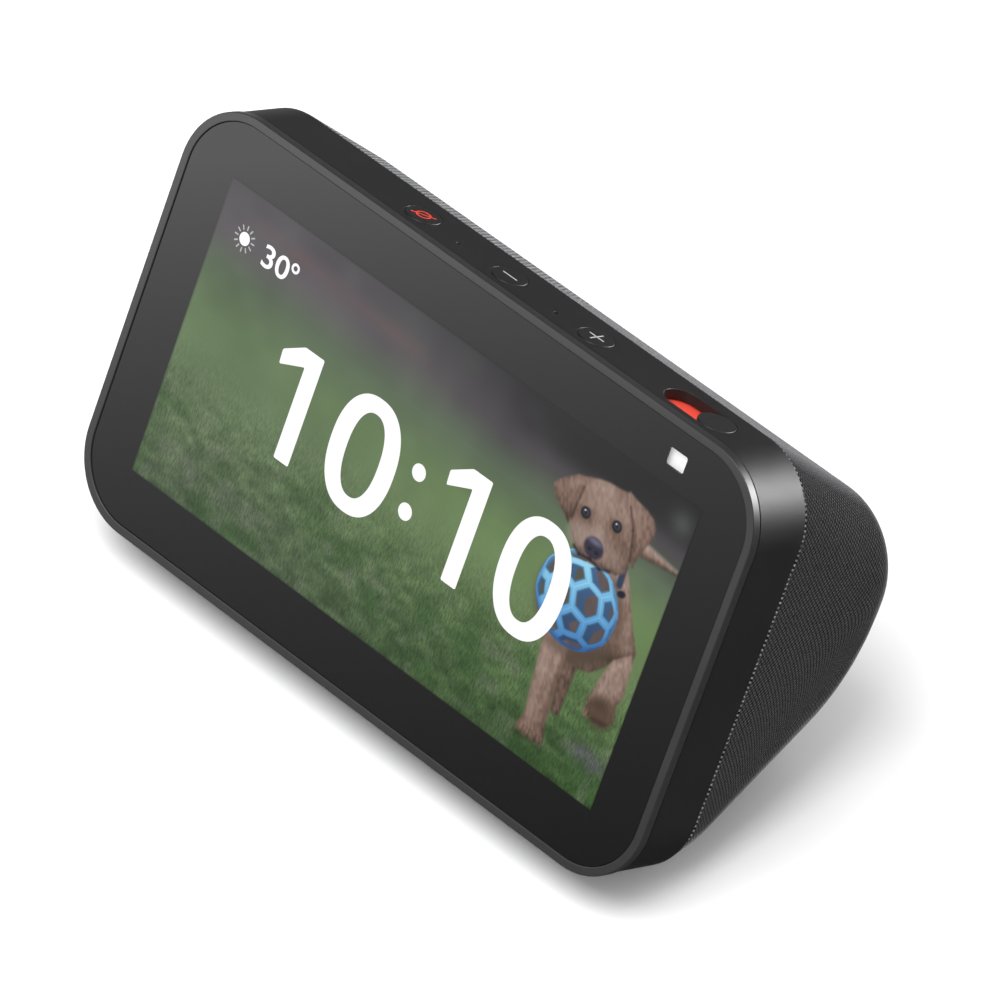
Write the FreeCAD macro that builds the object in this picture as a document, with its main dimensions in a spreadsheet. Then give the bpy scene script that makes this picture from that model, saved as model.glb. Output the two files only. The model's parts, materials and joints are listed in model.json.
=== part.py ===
import FreeCAD, Part
import math
import os

import Sketcher

# A tabletop smart display: a leaning glass front in a plastic frame, and a fabric-covered rear shell.
# Most pieces are drawn in the frame of the face: x across, y up the face, z out of the glass,
# with the origin at the middle of the picture. FACE then leans them back and lifts them to their
# place. The underside pieces and the sockets are drawn upright, in the frame of the whole object.

DIMENSIONS = [
    # outline of the face
    ("face_width", 147.0), ("face_height", 85.4), ("face_corner", 14.5),
    ("face_lean", 25.0), ("face_lift", 47.3), ("face_shift", 18.164),
    ("trim_front", 0.32), ("trim_width", 1.7), ("trim_depth", 1.9),
    ("parting_gap", 0.3), ("frame_inset", 0.2), ("frame_wall", 2.0), ("frame_back", 14.0),
    ("glass_gap", 0.12), ("glass_thick", 1.1),
    ("ledge_thick", 1.2), ("ledge_side", 134.0), ("ledge_tall", 76.4), ("gasket_thick", 0.7),
    ("gasket_edge", 1.8),
    # picture stack
    ("panel_width", 126.0), ("panel_tall", 64.6), ("panel_thick", 1.5),
    ("backlight_thick", 2.2), ("plate_thick", 0.6), ("stack_gap", 0.1),
    # controls in the top of the frame
    ("button_size", 7.0), ("button_gap", 0.08), ("button_row", -7.1), ("button_proud", 0.1),
    ("mute_place", -22.9), ("down_place", -0.4), ("up_place", 21.9),
    ("flange_size", 7.8), ("flange_thick", 0.8), ("plunger_size", 3.0), ("flange_gap", 0.3),
    ("plunger_end", 38.75), ("switch_wide", 5.0), ("switch_top", 38.05),
    ("board_top", 36.2), ("board_thick", 0.8), ("board_wide", 76.0), ("board_deep", 7.4),
    ("mic_place", 12.7), ("mic_row", -6.0), ("mic_hole", 0.9), ("mic_thick", 1.1),
    ("mic_case", 3.0), ("seal_size", 3.4), ("led_size", 1.4), ("led_place", -17.4),
    # privacy shutter
    ("knob_place", 52.4), ("knob_size", 7.2), ("knob_side_gap", 0.15), ("knob_travel", 8.3),
    ("knob_thick", 1.6), ("knob_proud", 0.05), ("stem_size", 2.0), ("flag_gap", 0.3),
    ("flag_reach", 13.4), ("flag_deep", 9.4), ("flag_thick", 0.5), ("carriage_top", 39.3),
    ("carriage_thick", 0.9), ("carriage_wide", 9.0), ("shade_wide", 6.4), ("shade_tall", 4.9),
    ("shade_thick", 0.4), ("shade_front", 1.35), ("arm_wide", 4.0), ("arm_thick", 0.8),
    ("arm_drop", 0.7), ("carriage_front", 2.4), ("spring_long", 16.0), ("spring_thick", 0.3),
    # camera
    ("camera_place", 52.1), ("camera_level", 35.5), ("camera_wide", 8.0), ("camera_tall", 3.6),
    ("camera_front", 2.6), ("camera_thick", 3.2), ("lens_size", 2.4), ("lens_thick", 0.5),
    # rear body: how the sections shrink behind the frame
    ("rear_depth", 39.5), ("top_slope", 0.45), ("rear_round", 13.8), ("under_round", 8.0),
    ("under_start", 5.0), ("upper_corner_end", 12.5), ("lower_corner_growth", 0.76),
    ("skin_thick", 0.9), ("shell_wall", 2.0),
    ("underside_level", 2.5),
    # inside
    ("chassis_wide", 136.0), ("chassis_tall", 68.0), ("chassis_level", -2.0),
    ("chassis_front", 7.0), ("chassis_thick", 1.6), ("window_wide", 84.0), ("window_tall", 34.0),
    ("post_size", 5.0), ("post_tall", 2.0), ("post_side", 52.0), ("post_rise", 19.0),
    ("mainboard_wide", 116.0), ("mainboard_tall", 48.0), ("mainboard_thick", 1.2),
    ("can_wide", 34.0), ("can_tall", 26.0), ("can_thick", 2.4), ("can_place", 30.0),
    ("pad_wide", 22.0), ("pad_tall", 20.0), ("pad_thick", 1.0),
    ("spreader_wide", 60.0), ("spreader_tall", 44.0), ("spreader_thick", 1.2),
    ("screw_size", 2.0), ("screw_head", 4.2), ("screw_head_thick", 1.4), ("screw_play", 0.1),
    ("screw_long", 2.4), ("connector_wide", 8.0), ("connector_rise", -19.0), ("connector_tall", 4.0),
    ("aerial_side", 66.5), ("aerial_thick", 0.8), ("aerial_low", -12.0), ("aerial_high", 18.0),
    ("aerial_front", -20.0), ("aerial_back", -34.0),
    # loudspeaker
    ("driver_place", -28.0), ("driver_level", 1.0), ("driver_size", 40.0), ("driver_front", 42.0),
    ("basket_rim", 1.2), ("basket_wall", 1.0), ("cone_size", 31.0), ("roll_size", 2.2),
    ("cap_size", 11.0), ("magnet_size", 24.0), ("magnet_thick", 9.0), ("driver_deep", 8.0),
    ("box_wide", 46.0), ("box_tall", 43.0), ("box_front", 18.0), ("box_wall", 1.6),
    ("grille_hole", 3.0), ("grille_pitch", 4.6), ("seal_ring", 4.0), ("seal_thick", 1.6),
    # sockets at the rear
    ("niche_place", 26.0), ("niche_wide", 32.0), ("niche_tall", 11.0), ("niche_level", 22.0),
    ("niche_floor", 26.0), ("portplate_thick", 2.0), ("jack_place", 19.0), ("jack_body", 8.0),
    ("jack_long", 11.0), ("jack_bore", 4.2), ("jack_deep", 8.5), ("jack_pin", 1.6),
    ("usb_place", 33.0), ("usb_wide", 7.6), ("usb_tall", 2.9), ("usb_long", 5.6),
    ("usb_wall", 0.35),
    # underside
    ("foot_wide", 98.0), ("foot_deep", 37.0), ("foot_corner", 14.0), ("foot_thick", 1.5),
    ("foot_shift", -1.5), ("pan_top", 6.0),
]

doc = FreeCAD.newDocument("SmartDisplay")
sheet = doc.addObject("Spreadsheet::Sheet", "Dimensions")
for row, (alias, value) in enumerate(DIMENSIONS, start=1):
    sheet.set("A%d" % row, alias)
    sheet.set("B%d" % row, str(value))
    sheet.setAlias("B%d" % row, alias)
doc.recompute()

PARTS = []


def size(name):
    """The value of one cell of the sheet."""
    return float(getattr(sheet, name))


def cell(formula):
    """The formula with every word of it that names a cell pointed at the sheet."""
    words = formula.replace("(", " ( ").replace(")", " ) ").split()
    return " ".join("Dimensions." + word if word[0].isalpha() else word for word in words)


def worth(formula):
    """The number that a formula of cells gives now."""
    return float(sheet.evalExpression(cell(formula)))


FACE = FreeCAD.Placement(
    FreeCAD.Vector(0, -size("face_shift"), size("face_lift")),
    FreeCAD.Rotation(FreeCAD.Vector(1, 0, 0), 90 - size("face_lean")))
UPRIGHT = FreeCAD.Placement()
# turned so that a pad runs towards the back of the upright object
REARWARD = FreeCAD.Rotation(FreeCAD.Vector(1, 0, 0), -90)


# ---------------------------------------------------------------- sketches and bodies

def new_body(label, placement=FACE):
    """An empty body, in the frame of the face unless another placement is given."""
    body = doc.addObject("PartDesign::Body", label)
    body.Label = label
    body.Placement = placement
    return body


def origin_plane(body, role):
    """One of the body's own origin planes."""
    return next(feature for feature in body.Origin.OriginFeatures if feature.Role == role)


def new_sketch(body, level="0", role="XY_Plane"):
    """A sketch on one of the body's origin planes, moved along its normal to a level."""
    sketch = body.newObject("Sketcher::SketchObject", body.Name + "_sketch")
    sketch.AttachmentSupport = [(origin_plane(body, role), "")]
    sketch.MapMode = "FlatFace"
    sketch.setExpression("AttachmentOffset.Base.z", cell(level))
    return sketch


def bind(sketch, constraint, formula):
    """Adds a dimension to a sketch and ties it to the sheet."""
    index = sketch.addConstraint(constraint)
    sketch.setExpression("Constraints[%d]" % index, cell(formula))


def place_point(sketch, geometry, point, across, up):
    """Ties one point of a sketch to its distances from the origin."""
    for kind, formula in (("DistanceX", across), ("DistanceY", up)):
        distance = worth(formula)
        if abs(distance) < 1e-9:
            other = -2 if kind == "DistanceX" else -1
            sketch.addConstraint(Sketcher.Constraint("PointOnObject", geometry, point, other))
        else:
            bind(sketch, Sketcher.Constraint(kind, -1, 1, geometry, point, distance), formula)


def add_circle(sketch, across, up, diameter):
    """A circle at a place given by formulas of cells."""
    centre = FreeCAD.Vector(worth(across), worth(up), 0)
    circle = Part.Circle(centre, FreeCAD.Vector(0, 0, 1), worth(diameter) / 2)
    index = sketch.addGeometry(circle, False)
    bind(sketch, Sketcher.Constraint("Diameter", index, worth(diameter)), diameter)
    place_point(sketch, index, 3, across, up)


def add_loop(sketch, wide, tall, corner="0", across="0", up="0"):
    """A rectangle about a place, with rounded corners unless the corner is 0."""
    half_wide, half_tall, radius = worth(wide) / 2, worth(tall) / 2, worth(corner)
    middle = FreeCAD.Vector(worth(across), worth(up), 0)
    turns = ((1, 1, 0), (-1, 1, 90), (-1, -1, 180), (1, -1, 270))
    centre_point = sketch.addGeometry(Part.Point(middle), True)
    place_point(sketch, centre_point, 1, across, up)
    arcs = []
    corners = []
    for sign_x, sign_y, start in turns:
        place = middle + FreeCAD.Vector(sign_x * (half_wide - radius), sign_y * (half_tall - radius), 0)
        corners.append(place)
        if radius:
            circle = Part.Circle(place, FreeCAD.Vector(0, 0, 1), radius)
            first = math.radians(start)
            arcs.append(sketch.addGeometry(Part.ArcOfCircle(circle, first, first + math.pi / 2), False))
    sides = []
    outward = ((0, 1), (-1, 0), (0, -1), (1, 0))
    for index, (out_x, out_y) in enumerate(outward):
        shift = FreeCAD.Vector(out_x * radius, out_y * radius, 0)
        ends = (corners[index] + shift, corners[(index + 1) % 4] + shift)
        sides.append(sketch.addGeometry(Part.LineSegment(*ends), False))
    for index in range(4):
        if radius:
            sketch.addConstraint(Sketcher.Constraint("Tangent", arcs[index], 2, sides[index], 1))
            following = arcs[(index + 1) % 4]
            sketch.addConstraint(Sketcher.Constraint("Tangent", sides[index], 2, following, 1))
        else:
            following = sides[(index + 1) % 4]
            sketch.addConstraint(Sketcher.Constraint("Coincident", sides[index], 2, following, 1))
    for index, kind in enumerate(("Horizontal", "Vertical", "Horizontal", "Vertical")):
        sketch.addConstraint(Sketcher.Constraint(kind, sides[index]))
    for index in range(1, 4 if radius else 1):
        sketch.addConstraint(Sketcher.Constraint("Equal", arcs[0], arcs[index]))
    if radius:
        bind(sketch, Sketcher.Constraint("Radius", arcs[0], radius), corner)
    top, left, bottom, right = sides
    # the far corners of the loop sit evenly about its centre point
    sketch.addConstraint(Sketcher.Constraint("Symmetric", top, 1, bottom, 1, centre_point, 1))
    run_x = 2 * (half_wide - radius)
    run_y = 2 * (half_tall - radius)
    bind(sketch, Sketcher.Constraint("DistanceX", top, 2, top, 1, run_x), "%s - 2 * ( %s )" % (wide, corner))
    bind(sketch, Sketcher.Constraint("DistanceY", left, 2, left, 1, run_y), "%s - 2 * ( %s )" % (tall, corner))


def add_pad(body, sketch, length, backward=True):
    """Raises a sketch into a solid, away from the viewer of the face unless told otherwise."""
    pad = body.newObject("PartDesign::Pad", body.Name + "_pad")
    pad.Profile = sketch
    pad.setExpression("Length", cell(length))
    pad.Reversed = backward
    return pad


def add_pocket(body, sketch, length, backward=True):
    """Cuts a sketch out of a solid over a length; backward cuts towards the rear."""
    pocket = body.newObject("PartDesign::Pocket", body.Name + "_pocket")
    pocket.Profile = sketch
    pocket.setExpression("Length", cell(length))
    pocket.Reversed = not backward
    return pocket


def keep(item):
    """Lists a finished sub-part, whose label names its file."""
    PARTS.append(item)
    return item


def plate(label, wide, tall, corner, front, thick, across="0", up="0", placement=FACE):
    """A rounded slab that starts at a level and runs back from it."""
    body = new_body(label, placement)
    sketch = new_sketch(body, front)
    add_loop(sketch, wide, tall, corner, across, up)
    add_pad(body, sketch, thick)
    return body


def ring(label, outer, inner, front, thick):
    """A rounded ring; outer and inner are each width, height and corner."""
    body = new_body(label)
    sketch = new_sketch(body, front)
    add_loop(sketch, *outer)
    add_loop(sketch, *inner)
    add_pad(body, sketch, thick)
    return body


def disc(label, across, up, diameter, front, thick, placement=FACE):
    """A round slab that starts at a level and runs back from it."""
    body = new_body(label, placement)
    sketch = new_sketch(body, front)
    add_circle(sketch, across, up, diameter)
    add_pad(body, sketch, thick)
    return body


def box_at(label, low, high, placement=FACE):
    """A plain box between two corners, each of three formulas."""
    box = doc.addObject("Part::Box", label)
    box.Label = label
    for side, first, last in zip(("Length", "Width", "Height"), low, high):
        box.setExpression(side, cell("( %s ) - ( %s )" % (last, first)))
    corner = FreeCAD.Vector(*(worth(formula) for formula in low))
    box.Placement = placement.multiply(FreeCAD.Placement(corner, FreeCAD.Rotation()))
    return box


def rod(label, start, direction, diameter, length, placement=FACE):
    """A cylinder from a start place along a direction."""
    cylinder = doc.addObject("Part::Cylinder", label)
    cylinder.Label = label
    cylinder.setExpression("Radius", cell("( %s ) / 2" % diameter))
    cylinder.setExpression("Height", cell(length))
    spot = FreeCAD.Vector(*(worth(formula) for formula in start))
    turn = FreeCAD.Rotation(FreeCAD.Vector(0, 0, 1), FreeCAD.Vector(*direction))
    cylinder.Placement = placement.multiply(FreeCAD.Placement(spot, turn))
    return cylinder


def fuse(label, *shapes):
    """One solid from several."""
    joined = doc.addObject("Part::MultiFuse", label)
    joined.Label = label
    joined.Shapes = list(shapes)
    return joined


def group(label, *shapes):
    """Separate identical solids that share one node."""
    together = doc.addObject("Part::Compound", label)
    together.Label = label
    together.Links = list(shapes)
    return together


def cut(label, base, *tools):
    """A solid with others taken out of it."""
    tool = tools[0] if len(tools) == 1 else fuse(label + "_tools", *tools)
    result = doc.addObject("Part::Cut", label)
    result.Label = label
    result.Base = base
    result.Tool = tool
    return result


DOWN = (0, -1, 0)
BACK = (0, 0, -1)
TO_REAR = (0, 1, 0)
TO_SKY = (0, 0, 1)


# ---------------------------------------------------------------- rear body

def eased(depth, full_depth, radius):
    """How far a side has curled in, at a depth, along a final quarter round."""
    along = max(0.0, depth - (full_depth - radius)) / radius
    return radius * (1 - math.sqrt(max(0.0, 1 - along * along)))


def rear_section(depth, inset):
    """The outline across the rear body at a depth behind the frame, moved in by an inset."""
    full = size("rear_depth") - inset
    share = depth / full
    lean = math.tan(math.radians(size("face_lean")))
    half_height = size("face_height") / 2 - size("frame_inset") - inset
    half_width = size("face_width") / 2 - size("frame_inset") - inset
    top_round = size("rear_round") - inset / 2
    under_round = size("under_round") - inset / 2
    under_rise = lean * max(0.0, depth - size("under_start"))
    top = half_height - size("top_slope") * depth - eased(depth, full, top_round)
    bottom = -half_height + under_rise + eased(depth, full, under_round)
    side = half_width - eased(depth, full, top_round)
    upper = size("face_corner") + share * (size("upper_corner_end") - size("face_corner")) - inset
    lower = size("face_corner") + size("lower_corner_growth") * depth - inset
    lower = min(lower, (top - bottom) * 0.97 - upper)
    level = -size("frame_back") - depth
    edges = []
    spots = ((side - upper, top - upper, upper, 0), (upper - side, top - upper, upper, 90),
             (lower - side, bottom + lower, lower, 180), (side - lower, bottom + lower, lower, 270))
    for index, (across, up, radius, start) in enumerate(spots):
        circle = Part.Circle(FreeCAD.Vector(across, up, level), FreeCAD.Vector(0, 0, 1), radius)
        first = math.radians(start)
        arc = circle.toShape(first, first + math.pi / 2)
        edges.append(arc)
        after = spots[(index + 1) % 4]
        turn = math.radians(start + 90)
        out = FreeCAD.Vector(math.cos(turn), math.sin(turn), 0)
        here = FreeCAD.Vector(across, up, level) + out * radius
        there = FreeCAD.Vector(after[0], after[1], level) + out * after[2]
        edges.append(Part.makeLine(here, there))
    return Part.Wire(edges)


def rear_solid(label, inset):
    """The rear body's full volume, moved in by an inset."""
    full = size("rear_depth") - inset
    straight = [0.0, 0.22, 0.44, 0.62]
    curled = [0.74, 0.83, 0.90, 0.955, 0.99]
    wires = [rear_section(full * share, inset) for share in straight + curled]
    body = doc.addObject("Part::Feature", label)
    body.Label = label
    body.Shape = Part.makeLoft(wires, True, False)
    body.Placement = FACE
    return body


def stadium_box(label, wide, tall, across, level, start, long):
    """A round-ended bar that runs to the rear of the upright object."""
    body = new_body(label, FreeCAD.Placement(FreeCAD.Vector(0, 0, 0), REARWARD))
    sketch = new_sketch(body, start)
    add_loop(sketch, wide, tall, "( %s ) / 2 - 0.05" % tall, across, "-1 * %s" % level)
    add_pad(body, sketch, long, backward=False)
    return body


def rear_parts():
    """The moulded rear shell and the fabric skin that is stretched over it."""
    ground = box_at("ground_cut", ("-100", "-100", "-50"), ("100", "100", "underside_level"), UPRIGHT)
    outer = rear_solid("skin_outer", 0.0)
    middle = rear_solid("skin_inner", size("skin_thick"))
    inner = rear_solid("shell_inner", size("skin_thick") + size("shell_wall"))
    niche = stadium_box("niche_cut", "niche_wide", "niche_tall", "niche_place", "niche_level",
                        "niche_floor - 6", "20")
    keep(cut("fabric_wrap", outer, middle, ground, niche))
    holes = []
    reach = size("driver_size") / 2 - size("grille_hole")
    steps = int(reach / size("grille_pitch")) + 1
    for row in range(-steps, steps + 1):
        for column in range(-steps, steps + 1):
            across = (column + (row % 2) / 2) * size("grille_pitch")
            up = row * size("grille_pitch") * math.sqrt(3) / 2
            if math.hypot(across, up) < reach:
                start = ("driver_place + ( %.3f )" % across, "driver_level + ( %.3f )" % up,
                         "-1 * driver_front")
                name = "grille_%d_%d" % (row + steps, column + steps)
                holes.append(rod(name, start, BACK, "grille_hole", "14"))
    keep(cut("rear_shell", middle, inner, ground, niche, *holes))


# ---------------------------------------------------------------- face and frame

TRIM_OUTER = ("face_width", "face_height", "face_corner")
TRIM_INNER = ("face_width - 2 * trim_width", "face_height - 2 * trim_width", "face_corner - trim_width")
BAND_OUTER = ("face_width - 2 * frame_inset", "face_height - 2 * frame_inset", "face_corner - frame_inset")
BAND_INNER = ("face_width - 2 * frame_inset - 2 * frame_wall",
              "face_height - 2 * frame_inset - 2 * frame_wall",
              "face_corner - frame_inset - frame_wall")
GLASS = ("face_width - 2 * trim_width - 2 * glass_gap", "face_height - 2 * trim_width - 2 * glass_gap",
         "face_corner - trim_width - glass_gap")
WALL_TOP = "face_height / 2 - frame_inset"
WALL_UNDER = "face_height / 2 - frame_inset - frame_wall"
BAND_FRONT = "trim_front - trim_depth - parting_gap"


def face_parts():
    """The glass, the trim ring around it, its seal and the picture stack behind it."""
    keep(plate("cover_glass", *GLASS, "0", "glass_thick"))
    keep(ring("bezel_ring", TRIM_OUTER, TRIM_INNER, "trim_front", "trim_depth"))
    inner = ("ledge_side", "ledge_tall + 1", "9")
    outer = ("ledge_side + 2 * gasket_edge + 2", "ledge_tall + 2 * gasket_edge + 0.4", "10")
    keep(ring("glass_gasket", outer, inner, "-1 * glass_thick - 0.02", "gasket_thick"))
    front = "-1 * glass_thick - 0.02"
    keep(plate("lcd_panel", "panel_width", "panel_tall", "1", front, "panel_thick"))
    front += " - panel_thick - stack_gap"
    keep(plate("backlight_unit", "panel_width", "panel_tall", "1", front, "backlight_thick"))
    front += " - backlight_thick - stack_gap"
    keep(plate("display_plate", "panel_width + 1", "panel_tall + 0.6", "1.5", front, "plate_thick"))


def main_frame():
    """The plastic band that carries the glass, with its holes for the controls on top."""
    band = ring("frame_band", BAND_OUTER, BAND_INNER, BAND_FRONT, "frame_back + ( %s )" % BAND_FRONT)
    # the ledge overlaps the band's wall a little so that the two are one moulding
    outer = ("%s + 1" % BAND_INNER[0], "%s + 1" % BAND_INNER[1], "%s + 0.5" % BAND_INNER[2])
    ledge = ring("frame_ledge", outer, ("ledge_side", "ledge_tall", "9"), BAND_FRONT, "ledge_thick")
    notch = box_at("shutter_notch",
                   ("knob_place - knob_travel - carriage_wide / 2 - 2", "ledge_tall / 2 - 1", "-4"),
                   ("knob_place + carriage_wide / 2 + 1.5", "carriage_top + 0.3", "-1.5"))
    holes = []
    for name, place in (("mute", "mute_place"), ("down", "down_place"), ("up", "up_place")):
        start = (place, "%s + 1" % WALL_TOP, "button_row")
        holes.append(rod(name + "_hole", start, DOWN, "button_size + 2 * button_gap", "frame_wall + 2"))
    for side, sign in (("left", "-1 * "), ("right", "1 * ")):
        start = (sign + "mic_place", "%s + 1" % WALL_TOP, "mic_row")
        holes.append(rod(side + "_mic_hole", start, DOWN, "mic_hole", "frame_wall + 2"))
    wide = "knob_size + 2 * knob_side_gap"
    for end, shift in (("open", " - knob_travel"), ("shut", "")):
        start = ("knob_place" + shift, "%s + 1" % WALL_TOP, "button_row")
        holes.append(rod(end + "_slot_end", start, DOWN, wide, "frame_wall + 2"))
    run = box_at("slot_run",
                 ("knob_place - knob_travel", "%s - 1" % WALL_UNDER, "button_row - ( %s ) / 2" % wide),
                 ("knob_place", "%s + 1" % WALL_TOP, "button_row + ( %s ) / 2" % wide))
    solid = fuse("frame_solid", band, ledge)
    keep(cut("main_frame", solid, notch, run, *holes))


# ---------------------------------------------------------------- controls

def push_button(label, place):
    """A round cap through the frame's wall, a flange that holds it in, and a plunger below."""
    cap = rod(label + "_cap", (place, "%s + button_proud" % WALL_TOP, "button_row"), DOWN,
              "button_size", "frame_wall + button_proud + flange_gap + flange_thick / 2")
    flange = rod(label + "_flange", (place, "%s - flange_gap" % WALL_UNDER, "button_row"), DOWN,
                 "flange_size", "flange_thick")
    plunger = rod(label + "_plunger", (place, "%s - flange_gap" % WALL_UNDER, "button_row"), DOWN,
                  "plunger_size", "%s - flange_gap - plunger_end" % WALL_UNDER)
    keep(fuse(label, cap, flange, plunger))


def control_parts():
    """The three push buttons, and the board under them with its switches and microphones."""
    push_button("mute_button", "mute_place")
    push_button("volume_down_button", "down_place")
    push_button("volume_up_button", "up_place")
    half = "board_deep / 2"
    keep(box_at("button_board",
                ("-1 * board_wide / 2", "board_top - board_thick", "button_row - %s" % half),
                ("board_wide / 2", "board_top", "button_row + 1.1")))
    switches = []
    for name, place in (("mute", "mute_place"), ("down", "down_place"), ("up", "up_place")):
        reach = "switch_wide / 2"
        case = box_at(name + "_switch_case",
                      ("%s - %s" % (place, reach), "board_top", "button_row - 1.6"),
                      ("%s + %s" % (place, reach), "switch_top - 0.6", "button_row + 1"))
        tip = rod(name + "_switch_tip", (place, "switch_top", "button_row - 0.3"), DOWN, "1.6", "0.8")
        switches.append(fuse(name + "_switch", case, tip))
    keep(group("tact_switches", *switches))
    cases = []
    seals = []
    for side, sign in (("left", "-1 * "), ("right", "1 * ")):
        place = sign + "mic_place"
        reach = "mic_case / 2"
        cases.append(box_at(side + "_mic_case",
                            ("%s - %s" % (place, reach), "board_top", "mic_row - %s" % reach),
                            ("%s + %s" % (place, reach), "board_top + mic_thick", "mic_row")))
        start = (place, WALL_UNDER, "mic_row - 0.6")
        long = "%s - board_top - mic_thick" % WALL_UNDER
        tube = rod(side + "_seal_tube", start, DOWN, "seal_size", long)
        bore = rod(side + "_seal_bore", start, DOWN, "mic_hole + 0.6", long)
        seals.append(cut(side + "_seal", tube, bore))
    keep(group("microphones", *cases))
    keep(group("microphone_seals", *seals))
    keep(box_at("mute_led",
                ("led_place - led_size / 2", "board_top", "button_row - led_size / 2"),
                ("led_place + led_size / 2", "board_top + 0.6", "button_row + led_size / 2")))


def shutter_parts():
    """The sliding knob, the red strip it drags under the slot, and the shade over the camera."""
    under = "%s - flag_gap" % WALL_UNDER
    strip = box_at("flag_strip",
                   ("knob_place - flag_reach", "%s - flag_thick" % under, "button_row - flag_deep / 2"),
                   ("knob_place + 3", under, "button_row + flag_deep / 2 - 0.8"))
    stem_hole = rod("flag_stem_hole", ("knob_place", "%s + 1" % under, "button_row"), DOWN,
                    "stem_size + 0.1", "flag_thick + 2")
    keep(cut("shutter_flag", strip, stem_hole))
    top = "%s + knob_proud" % WALL_TOP
    head = rod("knob_head", ("knob_place", top, "button_row"), DOWN, "knob_size", "knob_thick")
    stem = rod("knob_stem", ("knob_place", "%s - knob_thick / 2" % top, "button_row"), DOWN,
               "stem_size", "%s - knob_thick / 2 - carriage_top" % top)
    keep(fuse("shutter_knob", head, stem))
    reach = "carriage_wide / 2"
    carriage = box_at("shade_carriage",
                      ("knob_place - %s" % reach, "carriage_top - carriage_thick", "button_row - 2.2"),
                      ("knob_place + %s" % reach, "carriage_top", "-1 * carriage_front"))
    # the arm passes under the glass's seal and meets the carriage over a narrow overlap
    low = "carriage_top - arm_drop - arm_thick"
    arm = box_at("shade_arm",
                 ("knob_place - arm_wide / 2", low, "-1 * carriage_front - arm_thick"),
                 ("knob_place + arm_wide / 2", "carriage_top - arm_drop", "-1 * shade_front"))
    shade = box_at("shade_sheet",
                   ("camera_place - shade_wide / 2", "camera_level - shade_tall / 2",
                    "-1 * shade_front - shade_thick"),
                   ("camera_place + shade_wide / 2", "%s + 0.3" % low, "-1 * shade_front"))
    keep(fuse("shutter_shade", carriage, arm, shade))
    keep(box_at("detent_spring",
                ("knob_place - knob_travel / 2 - spring_long / 2", "carriage_top - 0.9",
                 "button_row - 2.7 - spring_thick"),
                ("knob_place - knob_travel / 2 + spring_long / 2", "carriage_top - 0.1",
                 "button_row - 2.7")))


def camera_parts():
    """The camera behind its window in the glass."""
    front = "-1 * camera_front"
    keep(plate("camera_module", "camera_wide", "camera_tall", "0.5", front, "camera_thick",
               "camera_place", "camera_level - 0.3"))
    keep(disc("camera_lens", "camera_place", "camera_level - 0.3", "lens_size", "%s + lens_thick" % front,
              "lens_thick"))


# ---------------------------------------------------------------- inside

def circuit_parts():
    """The inner chassis, and the circuit board with what is fixed to it."""
    posts = [(-1, -1), (1, -1), (1, 1), (-1, 1)]
    front = "-1 * chassis_front"
    tray = new_body("chassis_tray")
    sketch = new_sketch(tray, front)
    add_loop(sketch, "chassis_wide", "chassis_tall", "9", "0", "chassis_level")
    add_loop(sketch, "window_wide", "window_tall", "4", "0", "chassis_level")
    add_pad(tray, sketch, "chassis_thick")
    legs = []
    bores = []
    board_holes = []
    screws = []
    board_front = "%s - chassis_thick - post_tall" % front
    for number, (side, rise) in enumerate(posts, start=1):
        place = ("%d * post_side" % side, "chassis_level + %d * post_rise" % rise)
        legs.append(rod("post_%d" % number, (*place, "%s - chassis_thick / 2" % front), BACK,
                        "post_size", "chassis_thick / 2 + post_tall"))
        bores.append(rod("post_bore_%d" % number, (*place, "%s - 0.4" % front), BACK,
                         "screw_size + screw_play", "chassis_thick + post_tall"))
        board_holes.append(rod("board_hole_%d" % number, (*place, "%s + 1" % board_front), BACK,
                               "screw_size + screw_play", "mainboard_thick + 2"))
        under = "%s - mainboard_thick" % board_front
        head = rod("board_screw_head_%d" % number, (*place, under), BACK,
                   "screw_head", "screw_head_thick")
        shank = rod("board_screw_shank_%d" % number, (*place, "%s + screw_long" % under), BACK,
                    "screw_size", "screw_long + screw_head_thick / 2")
        screws.append(fuse("board_screw_%d" % number, head, shank))
    keep(cut("inner_chassis", fuse("chassis_solid", tray, *legs), *bores))
    board = plate("board_sheet", "mainboard_wide", "mainboard_tall", "2", board_front,
                  "mainboard_thick", "0", "chassis_level")
    keep(cut("main_board", board, *board_holes))
    keep(group("board_screws", *screws))
    rear = "%s - mainboard_thick" % board_front
    keep(plate("shield_can", "can_wide", "can_tall", "1", rear, "can_thick", "can_place", "chassis_level"))
    rear += " - can_thick"
    keep(plate("thermal_pad", "pad_wide", "pad_tall", "0.5", rear, "pad_thick",
               "can_place", "chassis_level"))
    rear += " - pad_thick"
    keep(plate("heat_spreader", "spreader_wide", "spreader_tall", "3", rear, "spreader_thick",
               "can_place + 2", "chassis_level"))
    blocks = []
    for name, place in (("display", "-40"), ("speaker", "-10"), ("power", "4")):
        blocks.append(box_at(name + "_connector",
                             ("%s - connector_wide / 2" % place,
                              "chassis_level + connector_rise - connector_tall / 2",
                              "%s - mainboard_thick - 2" % board_front),
                             ("%s + connector_wide / 2" % place,
                              "chassis_level + connector_rise + connector_tall / 2",
                              "%s - mainboard_thick" % board_front)))
    keep(group("board_connectors", *blocks))
    aerials = []
    for name, side in (("left", "-1"), ("right", "1")):
        aerials.append(box_at(name + "_aerial",
                              ("%s * aerial_side - aerial_thick / 2" % side, "aerial_low", "aerial_back"),
                              ("%s * aerial_side + aerial_thick / 2" % side, "aerial_high", "aerial_front")))
    keep(group("wifi_antennas", *aerials))


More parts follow.
